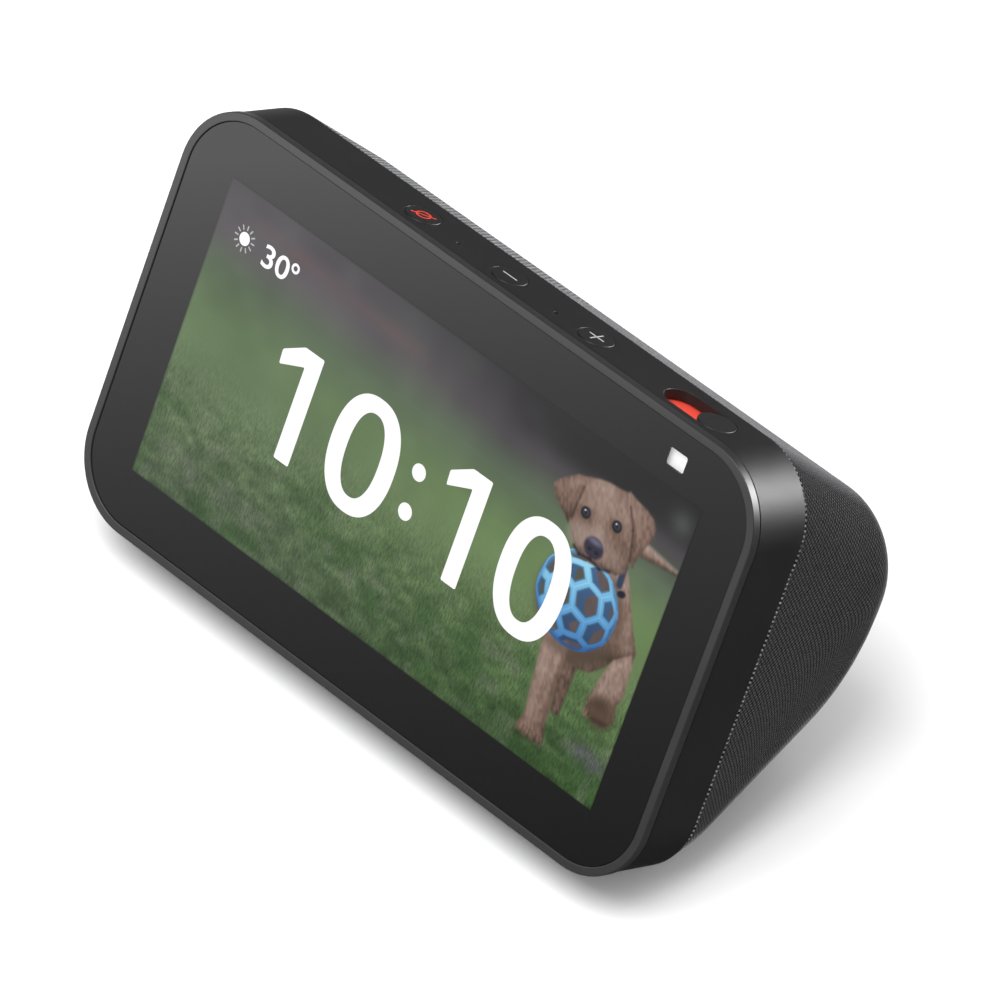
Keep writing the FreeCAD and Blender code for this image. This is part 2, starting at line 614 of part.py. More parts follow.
def cone_shell(label, front_radius, back_radius, front, deep, wall):
    """A thin funnel about the driver's axis that narrows towards the glass."""
    solids = []
    for name, shrink in ((label + "_solid", "0"), (label + "_hollow", wall)):
        cone = doc.addObject("Part::Cone", name)
        cone.setExpression("Radius1", cell("( %s ) - ( %s )" % (front_radius, shrink)))
        cone.setExpression("Radius2", cell("( %s ) - ( %s )" % (back_radius, shrink)))
        cone.setExpression("Height", cell(deep))
        place = FreeCAD.Vector(worth("driver_place"), worth("driver_level"), worth(front))
        cone.Placement = FACE.multiply(FreeCAD.Placement(place, FreeCAD.Rotation()))
        solids.append(cone)
    return cut(label, *solids)


def speaker_parts():
    """The loudspeaker, firing backwards through the grille, in its closed box."""
    axis = ("driver_place", "driver_level")
    rim_front = "-1 * driver_front"
    outer = ("box_wide", "box_tall", "6", *axis)
    enclosure = new_body("speaker_enclosure")
    sketch = new_sketch(enclosure, "-1 * box_front")
    add_loop(sketch, *outer)
    add_pad(enclosure, sketch, "driver_front - box_front - 0.1")
    hollow = new_sketch(enclosure, "-1 * driver_front + 0.1")
    add_loop(hollow, "box_wide - 2 * box_wall", "box_tall - 2 * box_wall", "4.4", *axis)
    add_pocket(enclosure, hollow, "driver_front - box_front - box_wall - 0.1", backward=False)
    keep(enclosure)
    rim = new_body("basket_rim_ring")
    sketch = new_sketch(rim, rim_front)
    add_circle(sketch, *axis, "driver_size")
    add_circle(sketch, *axis, "driver_size - 5")
    add_pad(rim, sketch, "basket_rim")
    funnel = cone_shell("basket_funnel", "driver_size / 2 - 1.5", "magnet_size / 2 - 1",
                        "%s - basket_rim / 2" % rim_front, "driver_deep", "basket_wall")
    keep(fuse("speaker_basket", rim, funnel))
    roll = doc.addObject("Part::Torus", "speaker_surround")
    roll.Label = "speaker_surround"
    roll.setExpression("Radius1", cell("cone_size / 2 + roll_size / 2 - 0.4"))
    roll.setExpression("Radius2", cell("roll_size / 2 - 0.3"))
    middle = FreeCAD.Vector(*(worth(formula) for formula in (*axis, "%s - basket_rim / 2" % rim_front)))
    roll.Placement = FACE.multiply(FreeCAD.Placement(middle, FreeCAD.Rotation()))
    keep(roll)
    keep(cone_shell("speaker_cone", "cone_size / 2 - 0.6", "cap_size / 2 + 0.2",
                    "%s - basket_rim / 2" % rim_front, "driver_deep - 2", "0.5"))
    keep(disc("speaker_dust_cap", *axis, "cap_size - 1", "%s + driver_deep - 3.4" % rim_front, "1.2"))
    keep(disc("speaker_magnet", *axis, "magnet_size", "%s + driver_deep + magnet_thick" % rim_front,
              "magnet_thick"))
    seal = new_body("speaker_gasket")
    sketch = new_sketch(seal, "%s - basket_rim" % rim_front)
    add_circle(sketch, *axis, "driver_size")
    add_circle(sketch, *axis, "driver_size - seal_ring")
    add_pad(seal, sketch, "seal_thick")
    keep(seal)


# ---------------------------------------------------------------- sockets and underside

def socket_parts():
    """The plate in the rear niche with the power socket and the small service socket."""
    panel = stadium_box("port_panel", "niche_wide - 0.2", "niche_tall - 0.2", "niche_place", "niche_level",
                        "niche_floor - portplate_thick", "portplate_thick")
    jack_start = ("jack_place", "niche_floor - jack_long", "niche_level")
    jack_hole = rod("jack_hole", ("jack_place", "niche_floor - 5", "niche_level"), TO_REAR,
                    "jack_body + 0.1", "10", UPRIGHT)
    usb_low = ("usb_place - usb_wide / 2 - 0.1", "niche_floor - 5", "niche_level - usb_tall / 2 - 0.1")
    usb_high = ("usb_place + usb_wide / 2 + 0.1", "niche_floor + 5", "niche_level + usb_tall / 2 + 0.1")
    keep(cut("port_plate", panel, jack_hole, box_at("usb_hole", usb_low, usb_high, UPRIGHT)))
    barrel = rod("jack_barrel", jack_start, TO_REAR, "jack_body", "jack_long", UPRIGHT)
    bore_start = ("jack_place", "niche_floor - jack_deep", "niche_level")
    bore = rod("jack_bore_cut", bore_start, TO_REAR, "jack_bore", "jack_deep + 1", UPRIGHT)
    keep(cut("power_socket", barrel, bore))
    keep(rod("power_socket_pin", bore_start, TO_REAR, "jack_pin", "jack_deep - 1", UPRIGHT))
    low = ("usb_place - usb_wide / 2", "niche_floor - usb_long", "niche_level - usb_tall / 2")
    high = ("usb_place + usb_wide / 2", "niche_floor", "niche_level + usb_tall / 2")
    shell = box_at("usb_case", low, high, UPRIGHT)
    low = ("usb_place - usb_wide / 2 + usb_wall", "niche_floor - usb_long + 1",
           "niche_level - usb_tall / 2 + usb_wall")
    high = ("usb_place + usb_wide / 2 - usb_wall", "niche_floor + 1",
            "niche_level + usb_tall / 2 - usb_wall")
    keep(cut("service_socket", shell, box_at("usb_mouth", low, high, UPRIGHT)))


def underside_parts():
    """The base pad that levels the curved underside, and the rubber foot stuck under it."""
    outer = doc.getObject("skin_outer")
    sole = ("foot_wide", "foot_deep", "foot_corner")
    block = plate("base_block", *sole, "pan_top", "pan_top - foot_thick", "0", "foot_shift", UPRIGHT)
    ground = doc.getObject("ground_cut")
    above = doc.addObject("Part::Cut", "skin_above_ground")
    above.Base = outer
    above.Tool = ground
    keep(cut("base_plate", block, above))
    inset = ("foot_wide - 2", "foot_deep - 2", "foot_corner - 1")
    keep(plate("rubber_foot", *inset, "foot_thick", "foot_thick", "0", "foot_shift", UPRIGHT))


def write_parts():
    """Checks every object and every sub-part, then writes one file for each sub-part."""
    doc.recompute()
    for item in doc.Objects:
        if "Invalid" in item.State or "Error" in item.State:
            raise RuntimeError("failed to compute: " + item.Label)
    for item in PARTS:
        if item.Shape.isNull() or not item.Shape.isValid() or not item.Shape.Solids:
            raise RuntimeError("bad shape: " + item.Label)
    os.makedirs("parts", exist_ok=True)
    for item in PARTS:
        item.Shape.exportStep("parts/" + item.Label + ".step")


face_parts()
main_frame()
control_parts()
shutter_parts()
camera_parts()
rear_parts()
circuit_parts()
speaker_parts()
socket_parts()
underside_parts()
write_parts()
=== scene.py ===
import json
import math

import bpy
import numpy as np
from mathutils import Matrix, Vector

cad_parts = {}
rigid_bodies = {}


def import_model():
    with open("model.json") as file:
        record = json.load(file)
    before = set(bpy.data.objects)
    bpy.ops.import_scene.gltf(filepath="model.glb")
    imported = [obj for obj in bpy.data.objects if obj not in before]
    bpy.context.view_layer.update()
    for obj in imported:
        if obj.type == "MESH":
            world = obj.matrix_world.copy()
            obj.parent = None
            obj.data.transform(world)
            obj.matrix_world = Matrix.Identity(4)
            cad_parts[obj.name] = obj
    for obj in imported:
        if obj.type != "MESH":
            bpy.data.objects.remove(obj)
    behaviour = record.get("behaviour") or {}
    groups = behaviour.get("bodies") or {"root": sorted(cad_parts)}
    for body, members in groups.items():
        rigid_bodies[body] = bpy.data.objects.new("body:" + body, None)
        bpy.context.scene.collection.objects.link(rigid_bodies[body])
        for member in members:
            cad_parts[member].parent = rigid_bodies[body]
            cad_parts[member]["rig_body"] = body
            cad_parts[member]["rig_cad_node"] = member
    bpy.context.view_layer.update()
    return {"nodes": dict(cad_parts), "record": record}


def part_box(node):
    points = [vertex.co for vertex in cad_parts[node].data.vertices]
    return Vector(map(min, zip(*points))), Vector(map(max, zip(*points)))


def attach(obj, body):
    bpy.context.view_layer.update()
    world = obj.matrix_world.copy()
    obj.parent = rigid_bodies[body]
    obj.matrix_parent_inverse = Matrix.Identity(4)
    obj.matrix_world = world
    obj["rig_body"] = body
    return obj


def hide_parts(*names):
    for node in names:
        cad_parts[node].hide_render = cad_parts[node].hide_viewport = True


# A tabletop smart display. Face measures are in millimetres: u to the right across the picture,
# v up the face and w out of the glass, from the middle of the picture.

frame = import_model()
nodes = frame["nodes"]

MM = 0.001
LEAN = math.radians(25)
GLASS_MIDDLE = 0.55 * MM
glass_low, glass_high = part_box("cover_glass")
outward = Vector((0, -math.cos(LEAN), math.sin(LEAN)))
FACE = (Matrix.Translation((glass_low + glass_high) / 2 + outward * GLASS_MIDDLE)
        @ Matrix.Rotation(math.radians(90) - LEAN, 4, "X"))
BUTTON_LEVEL = 42.6
# the top of the band: x along the row of buttons, y towards the rear, z out of the plastic
TOP = FACE @ Matrix.Translation((0, BUTTON_LEVEL * MM, 0)) @ Matrix.Rotation(math.radians(-90), 4, "X")


# ---------------------------------------------------------------- working helpers

def only(piece):
    """Selects one piece and nothing else."""
    bpy.ops.object.select_all(action="DESELECT")
    piece.select_set(True)
    bpy.context.view_layer.objects.active = piece


def named(name):
    """Names the piece that was just added."""
    piece = bpy.context.active_object
    piece.name = name
    piece.data.name = name
    return piece


def settle(piece, place):
    """Moves a piece's own place and then another place into its mesh."""
    only(piece)
    bpy.ops.object.transform_apply(location=True, rotation=True, scale=True)
    piece.data.transform(place)
    return piece


def edit(piece, work):
    """Runs some edit-mode work with the whole mesh selected."""
    only(piece)
    bpy.ops.object.mode_set(mode="EDIT")
    bpy.ops.mesh.select_all(action="SELECT")
    work()
    bpy.ops.object.mode_set(mode="OBJECT")


def apply_modifier(piece, kind, **settings):
    """Adds a modifier, sets it and applies it."""
    only(piece)
    modifier = piece.modifiers.new(kind.title(), kind)
    for key, value in settings.items():
        setattr(modifier, key, value)
    bpy.ops.object.modifier_apply(modifier=modifier.name)


def break_edges(piece, width, steps=3, angle=35):
    """Rounds every sharp edge a little, as a moulding tool does."""
    apply_modifier(piece, "BEVEL", width=width * MM, segments=steps, limit_method="ANGLE",
                   angle_limit=math.radians(angle), use_clamp_overlap=False)


def smooth_faces(piece, angle=38):
    """Shades a piece smooth except over its sharp edges."""
    only(piece)
    bpy.ops.object.shade_smooth_by_angle(angle=math.radians(angle))


def dress(piece, material, body="root", stands_for=()):
    """Gives a piece its material, the body it rides on and what it stands for."""
    piece.data.materials.clear()
    piece.data.materials.append(material)
    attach(piece, body)
    if stands_for:
        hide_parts(*stands_for)
    return piece


def refined(name, node, edge, steps=3):
    """A copy of a CAD piece with its mesh welded, its flats cleaned and its edges rounded."""
    piece = nodes[node].copy()
    piece.data = nodes[node].data.copy()
    bpy.context.scene.collection.objects.link(piece)
    piece.parent = None
    piece.name = name
    piece.data.name = name
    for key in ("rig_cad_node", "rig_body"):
        del piece[key]

    def clean():
        bpy.ops.mesh.remove_doubles(threshold=0.002 * MM)
        bpy.ops.mesh.dissolve_limited(angle_limit=math.radians(0.5))

    edit(piece, clean)
    if edge:
        break_edges(piece, edge, steps)
    smooth_faces(piece)
    apply_modifier(piece, "WEIGHTED_NORMAL", keep_sharp=True)
    return piece


# ---------------------------------------------------------------- materials

def new_group(name, inputs, outputs):
    """An empty shader group with named number inputs and typed outputs."""
    group = bpy.data.node_groups.new(name, "ShaderNodeTree")
    for label, value in inputs.items():
        socket = group.interface.new_socket(label, in_out="INPUT", socket_type="NodeSocketFloat")
        socket.default_value = value
    for label, kind in outputs.items():
        group.interface.new_socket(label, in_out="OUTPUT", socket_type=kind)
    return group, group.nodes.new("NodeGroupInput"), group.nodes.new("NodeGroupOutput")


class Wires:
    """Adds nodes to a tree and joins them, so that a material reads as a short list."""

    def __init__(self, tree):
        self.tree = tree

    def put(self, socket, value):
        """Joins an output to a socket, or sets the socket to a plain value."""
        if isinstance(value, bpy.types.NodeSocket):
            self.tree.links.new(value, socket)
        else:
            socket.default_value = value

    def math(self, operation, *values):
        node = self.tree.nodes.new("ShaderNodeMath")
        node.operation = operation
        for socket, value in zip(node.inputs, values):
            self.put(socket, value)
        return node.outputs[0]

    def noise(self, vector, scale, detail=2.0, roughness=0.5):
        node = self.tree.nodes.new("ShaderNodeTexNoise")
        self.put(node.inputs["Vector"], vector)
        self.put(node.inputs["Scale"], scale)
        node.inputs["Detail"].default_value = detail
        node.inputs["Roughness"].default_value = roughness
        return node.outputs["Fac"]

    def spread(self, value, low, high, to_low=0.0, to_high=1.0):
        node = self.tree.nodes.new("ShaderNodeMapRange")
        for socket, part in zip(node.inputs, (value, low, high, to_low, to_high)):
            self.put(socket, part)
        return node.outputs[0]

    def mix(self, amount, first, second):
        node = self.tree.nodes.new("ShaderNodeMix")
        node.data_type = "RGBA"
        self.put(node.inputs[0], amount)
        self.put(node.inputs[6], first)
        self.put(node.inputs[7], second)
        return node.outputs[2]

    def bump(self, height, distance, strength=1.0):
        node = self.tree.nodes.new("ShaderNodeBump")
        node.inputs["Strength"].default_value = strength
        node.inputs["Distance"].default_value = distance * MM
        self.put(node.inputs["Height"], height)
        return node.outputs["Normal"]

    def object_place(self):
        return self.tree.nodes.new("ShaderNodeTexCoord").outputs["Object"]

    def scale_vector(self, vector, amounts, turn=0.0):
        node = self.tree.nodes.new("ShaderNodeMapping")
        self.put(node.inputs["Vector"], vector)
        node.inputs["Scale"].default_value = amounts
        node.inputs["Rotation"].default_value = (0, 0, turn)
        return node.outputs[0]


def make_surface_grain():
    """Fine moulding texture and slow drift in tone, from the place on the object."""
    group, given, result = new_group("surface_grain", {"Grain": 4000.0, "Drift": 60.0},
                                     {"Height": "NodeSocketFloat", "Tone": "NodeSocketFloat"})
    wires = Wires(group)
    place = wires.object_place()
    fine = wires.noise(place, given.outputs["Grain"], 3.0, 0.6)
    slow = wires.noise(place, given.outputs["Drift"], 2.0)
    speckle = wires.spread(fine, 0.3, 0.7)
    wires.put(result.inputs["Height"], speckle)
    tone = wires.math("ADD", wires.math("MULTIPLY", slow, 0.6), wires.math("MULTIPLY", speckle, 0.4))
    wires.put(result.inputs["Tone"], tone)
    return group


def make_gloss_ripple():
    """A slow unevenness in polish, from the place on the object."""
    group, given, result = new_group("gloss_ripple", {"Scale": 900.0, "Smooth": 0.04, "Dull": 0.06},
                                     {"Polish": "NodeSocketFloat", "Ripple": "NodeSocketFloat"})
    wires = Wires(group)
    ripple = wires.noise(wires.object_place(), given.outputs["Scale"])
    wires.put(result.inputs["Ripple"], ripple)
    polish = wires.spread(ripple, 0, 1, given.outputs["Smooth"], given.outputs["Dull"])
    wires.put(result.inputs["Polish"], polish)
    return group


GRAIN_GROUP = make_surface_grain()
RIPPLE_GROUP = make_gloss_ripple()


def linear(value):
    """One display value from 0 to 255 as light."""
    share = value / 255
    return share / 12.92 if share <= 0.04045 else ((share + 0.055) / 1.055) ** 2.4


def tint(red, green, blue):
    """A display colour as a node colour."""
    return (linear(red), linear(green), linear(blue), 1.0)


def new_material(name):
    """An empty node material with its shader, and the helper that wires it."""
    material = bpy.data.materials.new(name)
    material.use_nodes = True
    shader = material.node_tree.nodes["Principled BSDF"]
    return material, shader, Wires(material.node_tree)


def polished(material, shader, wires, scale, smooth, dull):
    """Gives a glassy shader its uneven polish and hands back the ripple itself."""
    ripple = material.node_tree.nodes.new("ShaderNodeGroup")
    ripple.node_tree = RIPPLE_GROUP
    for key, value in (("Scale", scale), ("Smooth", smooth), ("Dull", dull)):
        ripple.inputs[key].default_value = value
    wires.put(shader.inputs["Roughness"], ripple.outputs["Polish"])
    return ripple.outputs["Ripple"]


def grained(name, dark, light, rough=(0.4, 0.5), metal=0.0, grain=4000.0, depth=0.01, drift=60.0,
            settings=None):
    """A material whose tone, gloss and relief all come from the shared grain."""
    material, shader, wires = new_material(name)
    texture = material.node_tree.nodes.new("ShaderNodeGroup")
    texture.node_tree = GRAIN_GROUP
    texture.inputs["Grain"].default_value = grain
    texture.inputs["Drift"].default_value = drift
    tone = wires.spread(texture.outputs["Tone"], 0.25, 0.75)
    wires.put(shader.inputs["Base Color"], wires.mix(tone, dark, light))
    wires.put(shader.inputs["Roughness"], wires.spread(texture.outputs["Tone"], 0.2, 0.8, *rough))
    wires.put(shader.inputs["Normal"], wires.bump(texture.outputs["Height"], depth))
    shader.inputs["Metallic"].default_value = metal
    for key, value in (settings or {}).items():
        shader.inputs[key].default_value = value
    return material


FINISH = {}
for slot, name, dark, light, rough, metal, grain, depth in (
    ("trim_plastic", "satin_trim_plastic", (40, 40, 41), (46, 46, 47), (0.3, 0.38), 0.0, 5000, 0.004),
    ("frame_plastic", "matte_band_plastic", (20, 20, 21), (24, 24, 25), (0.42, 0.52), 0.0, 4000, 0.01),
    ("button_plastic", "button_plastic", (23, 23, 24), (28, 28, 29), (0.40, 0.48), 0.0, 4000, 0.01),
    ("knob_plastic", "knob_plastic", (28, 28, 29), (33, 33, 34), (0.38, 0.46), 0.0, 4000, 0.01),
    ("shell_plastic", "rear_shell_plastic", (30, 30, 31), (38, 38, 39), (0.5, 0.62), 0.0, 4000, 0.02),
    ("foot_rubber", "foot_rubber", (24, 24, 25), (34, 34, 35), (0.7, 0.85), 0.0, 2500, 0.03),
    ("white_plastic", "white_plastic", (236, 236, 234), (246, 246, 245), (0.3, 0.4), 0.0, 4000, 0.004),
    ("coral_plastic", "coral_red_plastic", (236, 74, 58), (244, 86, 68), (0.4, 0.5), 0.0, 4000, 0.006),
    ("spring_steel", "spring_steel", (168, 168, 170), (196, 196, 198), (0.22, 0.34), 1.0, 6000, 0.01),
    ("foam_seal", "foam_seal", (26, 26, 27), (52, 52, 54), (0.85, 0.95), 0.0, 2200, 0.05),
    ("lcd_panel", "panel_glass", (14, 15, 18), (20, 21, 25), (0.08, 0.14), 0.0, 4000, 0.001),
    ("sheet_metal", "plated_sheet_metal", (170, 172, 172), (200, 201, 201), (0.28, 0.42), 1.0, 3000, 0.01),
    ("board_green", "circuit_board", (14, 62, 40), (28, 92, 58), (0.34, 0.5), 0.0, 1800, 0.02),
    ("black_plastic", "black_nylon", (20, 20, 21), (30, 30, 31), (0.5, 0.6), 0.0, 4000, 0.01),
    ("lens_glass", "coated_lens", (10, 12, 22), (18, 16, 34), (0.03, 0.06), 0.0, 4000, 0.0005),
    ("heat_aluminium", "spreader_aluminium", (196, 197, 199), (222, 223, 224), (0.3, 0.45), 1.0, 4000, 0.01),
    ("cone_paper", "speaker_cone_paper", (38, 38, 40), (62, 62, 64), (0.8, 0.92), 0.0, 1500, 0.04),
    ("cover_glass", "black_backed_glass", (7, 7, 8), (9, 9, 10), (0.035, 0.05), 0.0, 900, 0.0),
):
    FINISH[slot] = grained(name, tint(*dark), tint(*light), rough, metal, grain, depth)
lens_shader = FINISH["lens_glass"].node_tree.nodes["Principled BSDF"]
lens_shader.inputs["Coat Weight"].default_value = 1.0
lens_shader.inputs["Coat Roughness"].default_value = 0.02


def make_weave():
    """Threads that pass over and under each other, from the cloth's own map in millimetres."""
    outputs = {"Height": "NodeSocketFloat", "Thread": "NodeSocketFloat", "Hem": "NodeSocketFloat"}
    group, given, result = new_group("plain_weave", {"Pitch": 1.08, "Hem Width": 0.85}, outputs)
    wires = Wires(group)
    cloth = group.nodes.new("ShaderNodeUVMap")
    cloth.uv_map = "cloth"
    split = group.nodes.new("ShaderNodeSeparateXYZ")
    wires.put(split.inputs[0], cloth.outputs[0])
    across, along = split.outputs[0], split.outputs[1]
    drift = wires.noise(cloth.outputs[0], 1.1, 3.0)
    wander = wires.math("MULTIPLY", wires.math("SUBTRACT", drift, 0.5), 0.6)
    turns = wires.math("DIVIDE", math.pi, given.outputs["Pitch"])
    rising = wires.math("ADD", wires.math("ADD", across, along), wander)
    falling = wires.math("SUBTRACT", wires.math("SUBTRACT", across, along), wander)
    first = wires.math("SINE", wires.math("MULTIPLY", rising, turns))
    second = wires.math("SINE", wires.math("MULTIPLY", falling, turns))
    hump = wires.math("ABSOLUTE", wires.math("MULTIPLY", first, second))
    wires.put(result.inputs["Height"], wires.math("POWER", hump, 0.7))
    bits = wires.noise(cloth.outputs[0], 2.6, 2.0, 0.7)
    # Thread: paler flecks only on the thread tops, so the low places between the threads stay dark as painted
    # shade.
    wires.put(result.inputs["Thread"], wires.math("MULTIPLY", wires.math("POWER", hump, 2.6),
                                                  wires.spread(bits, 0.3, 0.72)))
    stitch = wires.spread(wires.math("SINE", wires.math("MULTIPLY", across, 2 * math.pi / 0.95)), 0.1, 0.5)
    hem_width = given.outputs["Hem Width"]
    at_edge = wires.spread(along, hem_width, wires.math("MULTIPLY", hem_width, 0.6))
    ends = wires.math("MULTIPLY", stitch, at_edge)
    wires.put(result.inputs["Hem"], wires.math("MULTIPLY", ends, wires.spread(bits, 0.35, 0.6)))
    return group


def make_cloth():
    """Charcoal knit: a near-black ground with paler thread tops, the ground's darkness between the threads
    partly painted shade, a bright cut edge at the seam, and a painted sheen that lightens the colour where
    the cloth is seen at a glancing angle.
    """
    material, shader, wires = new_material("charcoal_weave")
    weave = material.node_tree.nodes.new("ShaderNodeGroup")
    weave.node_tree = make_weave()
    # The pale flecks are the yarn's own colour; the near-black ground between the threads is painted shade in
    # the gaps.
    ground = wires.mix(weave.outputs["Thread"], tint(2, 2, 2), tint(102, 102, 104))
    hemmed = wires.mix(weave.outputs["Hem"], ground, tint(176, 176, 178))
    # Painted sheen: where the cloth is seen at a glancing angle its colour runs towards a pale grey,
    # following the weave's height.
    glance = material.node_tree.nodes.new("ShaderNodeLayerWeight")
    glance.inputs["Blend"].default_value = 0.5
    grazing_sheen = wires.math("MULTIPLY", wires.spread(glance.outputs["Facing"], 0.72, 0.97), 0.85)
    haze = wires.mix(weave.outputs["Height"], tint(24, 24, 25), tint(178, 178, 180))
    wires.put(shader.inputs["Base Color"], wires.mix(grazing_sheen, hemmed, haze))
    wires.put(shader.inputs["Normal"], wires.bump(weave.outputs["Height"], 0.24))
    shader.inputs["Roughness"].default_value = 0.92
    shader.inputs["Specular IOR Level"].default_value = 0.15
    shader.inputs["Sheen Weight"].default_value = 0.12
    shader.inputs["Sheen Roughness"].default_value = 0.4
    shader.inputs["Sheen Tint"].default_value = (0.75, 0.75, 0.78, 1)
    return material


def make_lit(name, colour, strength):
    """A part of the picture that shines evenly, with the glass's own gloss over it."""
    material, shader, wires = new_material(name)
    shader.inputs["Base Color"].default_value = (0, 0, 0, 1)
    ripple = polished(material, shader, wires, 900.0, 0.04, 0.06)
    glow = wires.mix(wires.spread(ripple, 0.2, 0.8), [part * 0.98 for part in colour[:3]] + [1], colour)
    wires.put(shader.inputs["Emission Color"], glow)
    shader.inputs["Emission Strength"].default_value = strength
    return material


def make_picture():
    """The lit picture: painted colours from the mesh, with blades of grass where it is sharp."""
    material, shader, wires = new_material("lit_picture")
    tree = material.node_tree
    paint = tree.nodes.new("ShaderNodeAttribute")
    paint.attribute_name = "paint"
    spot = tree.nodes.new("ShaderNodeAttribute")
    spot.attribute_name = "spot"
    sharp = tree.nodes.new("ShaderNodeAttribute")
    sharp.attribute_name = "sharp"
    where = spot.outputs["Vector"]
    blades = None
    for turn, wide, long in ((0.5, 3.4, 0.7), (-0.65, 3.0, 0.75), (0.05, 2.2, 0.6)):
        layer = wires.noise(wires.scale_vector(where, (wide, long, 1.0), turn), 1.0, 3.0, 0.6)
        blades = layer if blades is None else wires.math("MAXIMUM", blades, layer)
    contrast = wires.math("MULTIPLY", sharp.outputs["Fac"], 3.2)
    lift = wires.math("MULTIPLY", wires.math("SUBTRACT", blades, 0.585), contrast)
    gain = wires.math("MAXIMUM", wires.math("ADD", 1.0, lift), 0.15)
    scaled = tree.nodes.new("ShaderNodeVectorMath")
    scaled.operation = "SCALE"
    wires.put(scaled.inputs[0], paint.outputs["Color"])
    wires.put(scaled.inputs["Scale"], gain)
    wires.put(shader.inputs["Emission Color"], scaled.outputs[0])
    shader.inputs["Emission Strength"].default_value = 1.0
    shader.inputs["Base Color"].default_value = (0, 0, 0, 1)
    polished(material, shader, wires, 900.0, 0.035, 0.05)
    return material


def make_clear():
    """Clear glass for the camera's window."""
    material, shader, wires = new_material("clear_window_glass")
    shader.inputs["Alpha"].default_value = 0.1
    polished(material, shader, wires, 600.0, 0.0, 0.02)
    shader.inputs["Base Color"].default_value = (0, 0, 0, 1)
    return material


CLOTH = make_cloth()
PICTURE = make_picture()
CLEAR = make_clear()
WHITE_LIGHT = make_lit("white_figures", (1.0, 1.0, 1.0, 1.0), 1.0)
SOFT_LIGHT = make_lit("pale_sun_rays", (0.55, 0.55, 0.55, 1.0), 0.8)
RED_MARK = grained("coral_printed_mark", tint(226, 58, 46), tint(236, 68, 54), (0.4, 0.5), depth=0.002)
PALE_MARK = grained("pale_printed_mark", tint(176, 176, 178), tint(190, 190, 192), (0.4, 0.5), depth=0.002)

SOCKET_STEEL = grained("dull_socket_steel", tint(74, 74, 76), tint(96, 96, 98), (0.5, 0.6), 1.0, 3000)
# The lens shade's white plastic glows faintly: painted light that keeps it bright in the dark pocket behind
# the camera window.
GLOWING_LENS_SHADE = grained("lens_shade_white_painted_glow", tint(246, 246, 246), tint(250, 250, 250), (0.3, 0.4), depth=0.004,
                     settings={"Emission Color": (1, 1, 1, 1), "Emission Strength": 0.42})

for piece in frame["record"]["subparts"]:
    shape = nodes[piece["node"]].data
    shape.materials.clear()
    shape.materials.append(FINISH.get(piece["material_slot"], CLOTH))


# ---------------------------------------------------------------- moulded pieces

REFINED = (
    # name, node, body, edge in mm, slot
    ("trim_ring", "bezel_ring", "root", 0.2, "trim_plastic"),
    ("control_band", "main_frame", "root", 0.14, "frame_plastic"),
    ("mute_cap", "mute_button", "mute_key", 0.22, "button_plastic"),
    ("volume_down_cap", "volume_down_button", "volume_down_key", 0.22, "button_plastic"),
    ("volume_up_cap", "volume_up_button", "volume_up_key", 0.22, "button_plastic"),
    ("slider_knob", "shutter_knob", "shutter_slider", 0.22, "knob_plastic"),
    ("red_flag", "shutter_flag", "shutter_slider", 0.1, "coral_plastic"),
    ("lens_shade", "shutter_shade", "shutter_slider", 0.06, "white_plastic"),
    ("socket_plate", "port_plate", "root", 0.2, "shell_plastic"),
    ("power_barrel", "power_socket", "root", 0.2, "black_plastic"),
    ("service_shell", "service_socket", "root", 0.08, "sheet_metal"),
    ("base_pad", "base_plate", "root", 0.3, "shell_plastic"),
    ("foot_pad", "rubber_foot", "root", 0.3, "foot_rubber"),
)

for name, node, body, edge, slot in REFINED:
    # the lens shade takes the faintly glowing white (painted light), the service shell a duller steel
    finish = {"lens_shade": GLOWING_LENS_SHADE, "service_shell": SOCKET_STEEL}.get(name, FINISH[slot])
    dress(refined(name, node, edge), finish, body, (node,))


def slab(name, across, up, wide, tall, back, front, corner):
    """A block with rounded upright corners, in the face's frame."""
    bpy.ops.object.select_all(action="DESELECT")
    bpy.ops.mesh.primitive_cube_add(size=MM, location=(across * MM, up * MM, (back + front) / 2 * MM))
    piece = named(name)
    piece.scale = (wide, tall, front - back)
    only(piece)
    bpy.ops.object.transform_apply(location=True, rotation=True, scale=True)
    bpy.ops.object.mode_set(mode="EDIT")
    bpy.ops.mesh.select_mode(type="EDGE")
    bpy.ops.mesh.select_all(action="DESELECT")
    bpy.ops.object.mode_set(mode="OBJECT")
    for edge in piece.data.edges:
        ends = [piece.data.vertices[index].co for index in edge.vertices]
        edge.select = abs(ends[0].x - ends[1].x) < 1e-7 and abs(ends[0].y - ends[1].y) < 1e-7
    bpy.ops.object.mode_set(mode="EDIT")
    bpy.ops.mesh.bevel(offset=corner * MM, segments=6)
    bpy.ops.object.mode_set(mode="OBJECT")
    return piece


WINDOW_PLACE = (52.1, 35.5)
WINDOW_SIZE = (4.33, 3.28)


def carve(piece, cutter):
    """Takes a cutter's shape out of a piece and throws the cutter away."""
    apply_modifier(piece, "BOOLEAN", object=cutter, operation="DIFFERENCE", solver="EXACT")
    bpy.data.objects.remove(cutter)


def make_glass():
    """The cover glass, black behind, with the clear window left open for the camera."""
    glass = refined("front_glass", "cover_glass", 0)
    hole = settle(slab("window_hole", *WINDOW_PLACE, *WINDOW_SIZE, -3, 1, 0.45), FACE)
    carve(glass, hole)
    pocket = settle(slab("window_pocket", *WINDOW_PLACE, 6.6, 5.2, -3, -0.35, 0.6), FACE)
    carve(glass, pocket)
    smooth_faces(glass, 20)
    dress(glass, FINISH["cover_glass"], "root", ("cover_glass",))
    wide, tall = [size - 0.02 for size in WINDOW_SIZE]
    pane = slab("camera_window", *WINDOW_PLACE, wide, tall, -0.3, -0.01, 0.44)
    smooth_faces(settle(pane, FACE))
    dress(pane, CLEAR, "root")


make_glass()


# ---------------------------------------------------------------- marks on the buttons and the figures

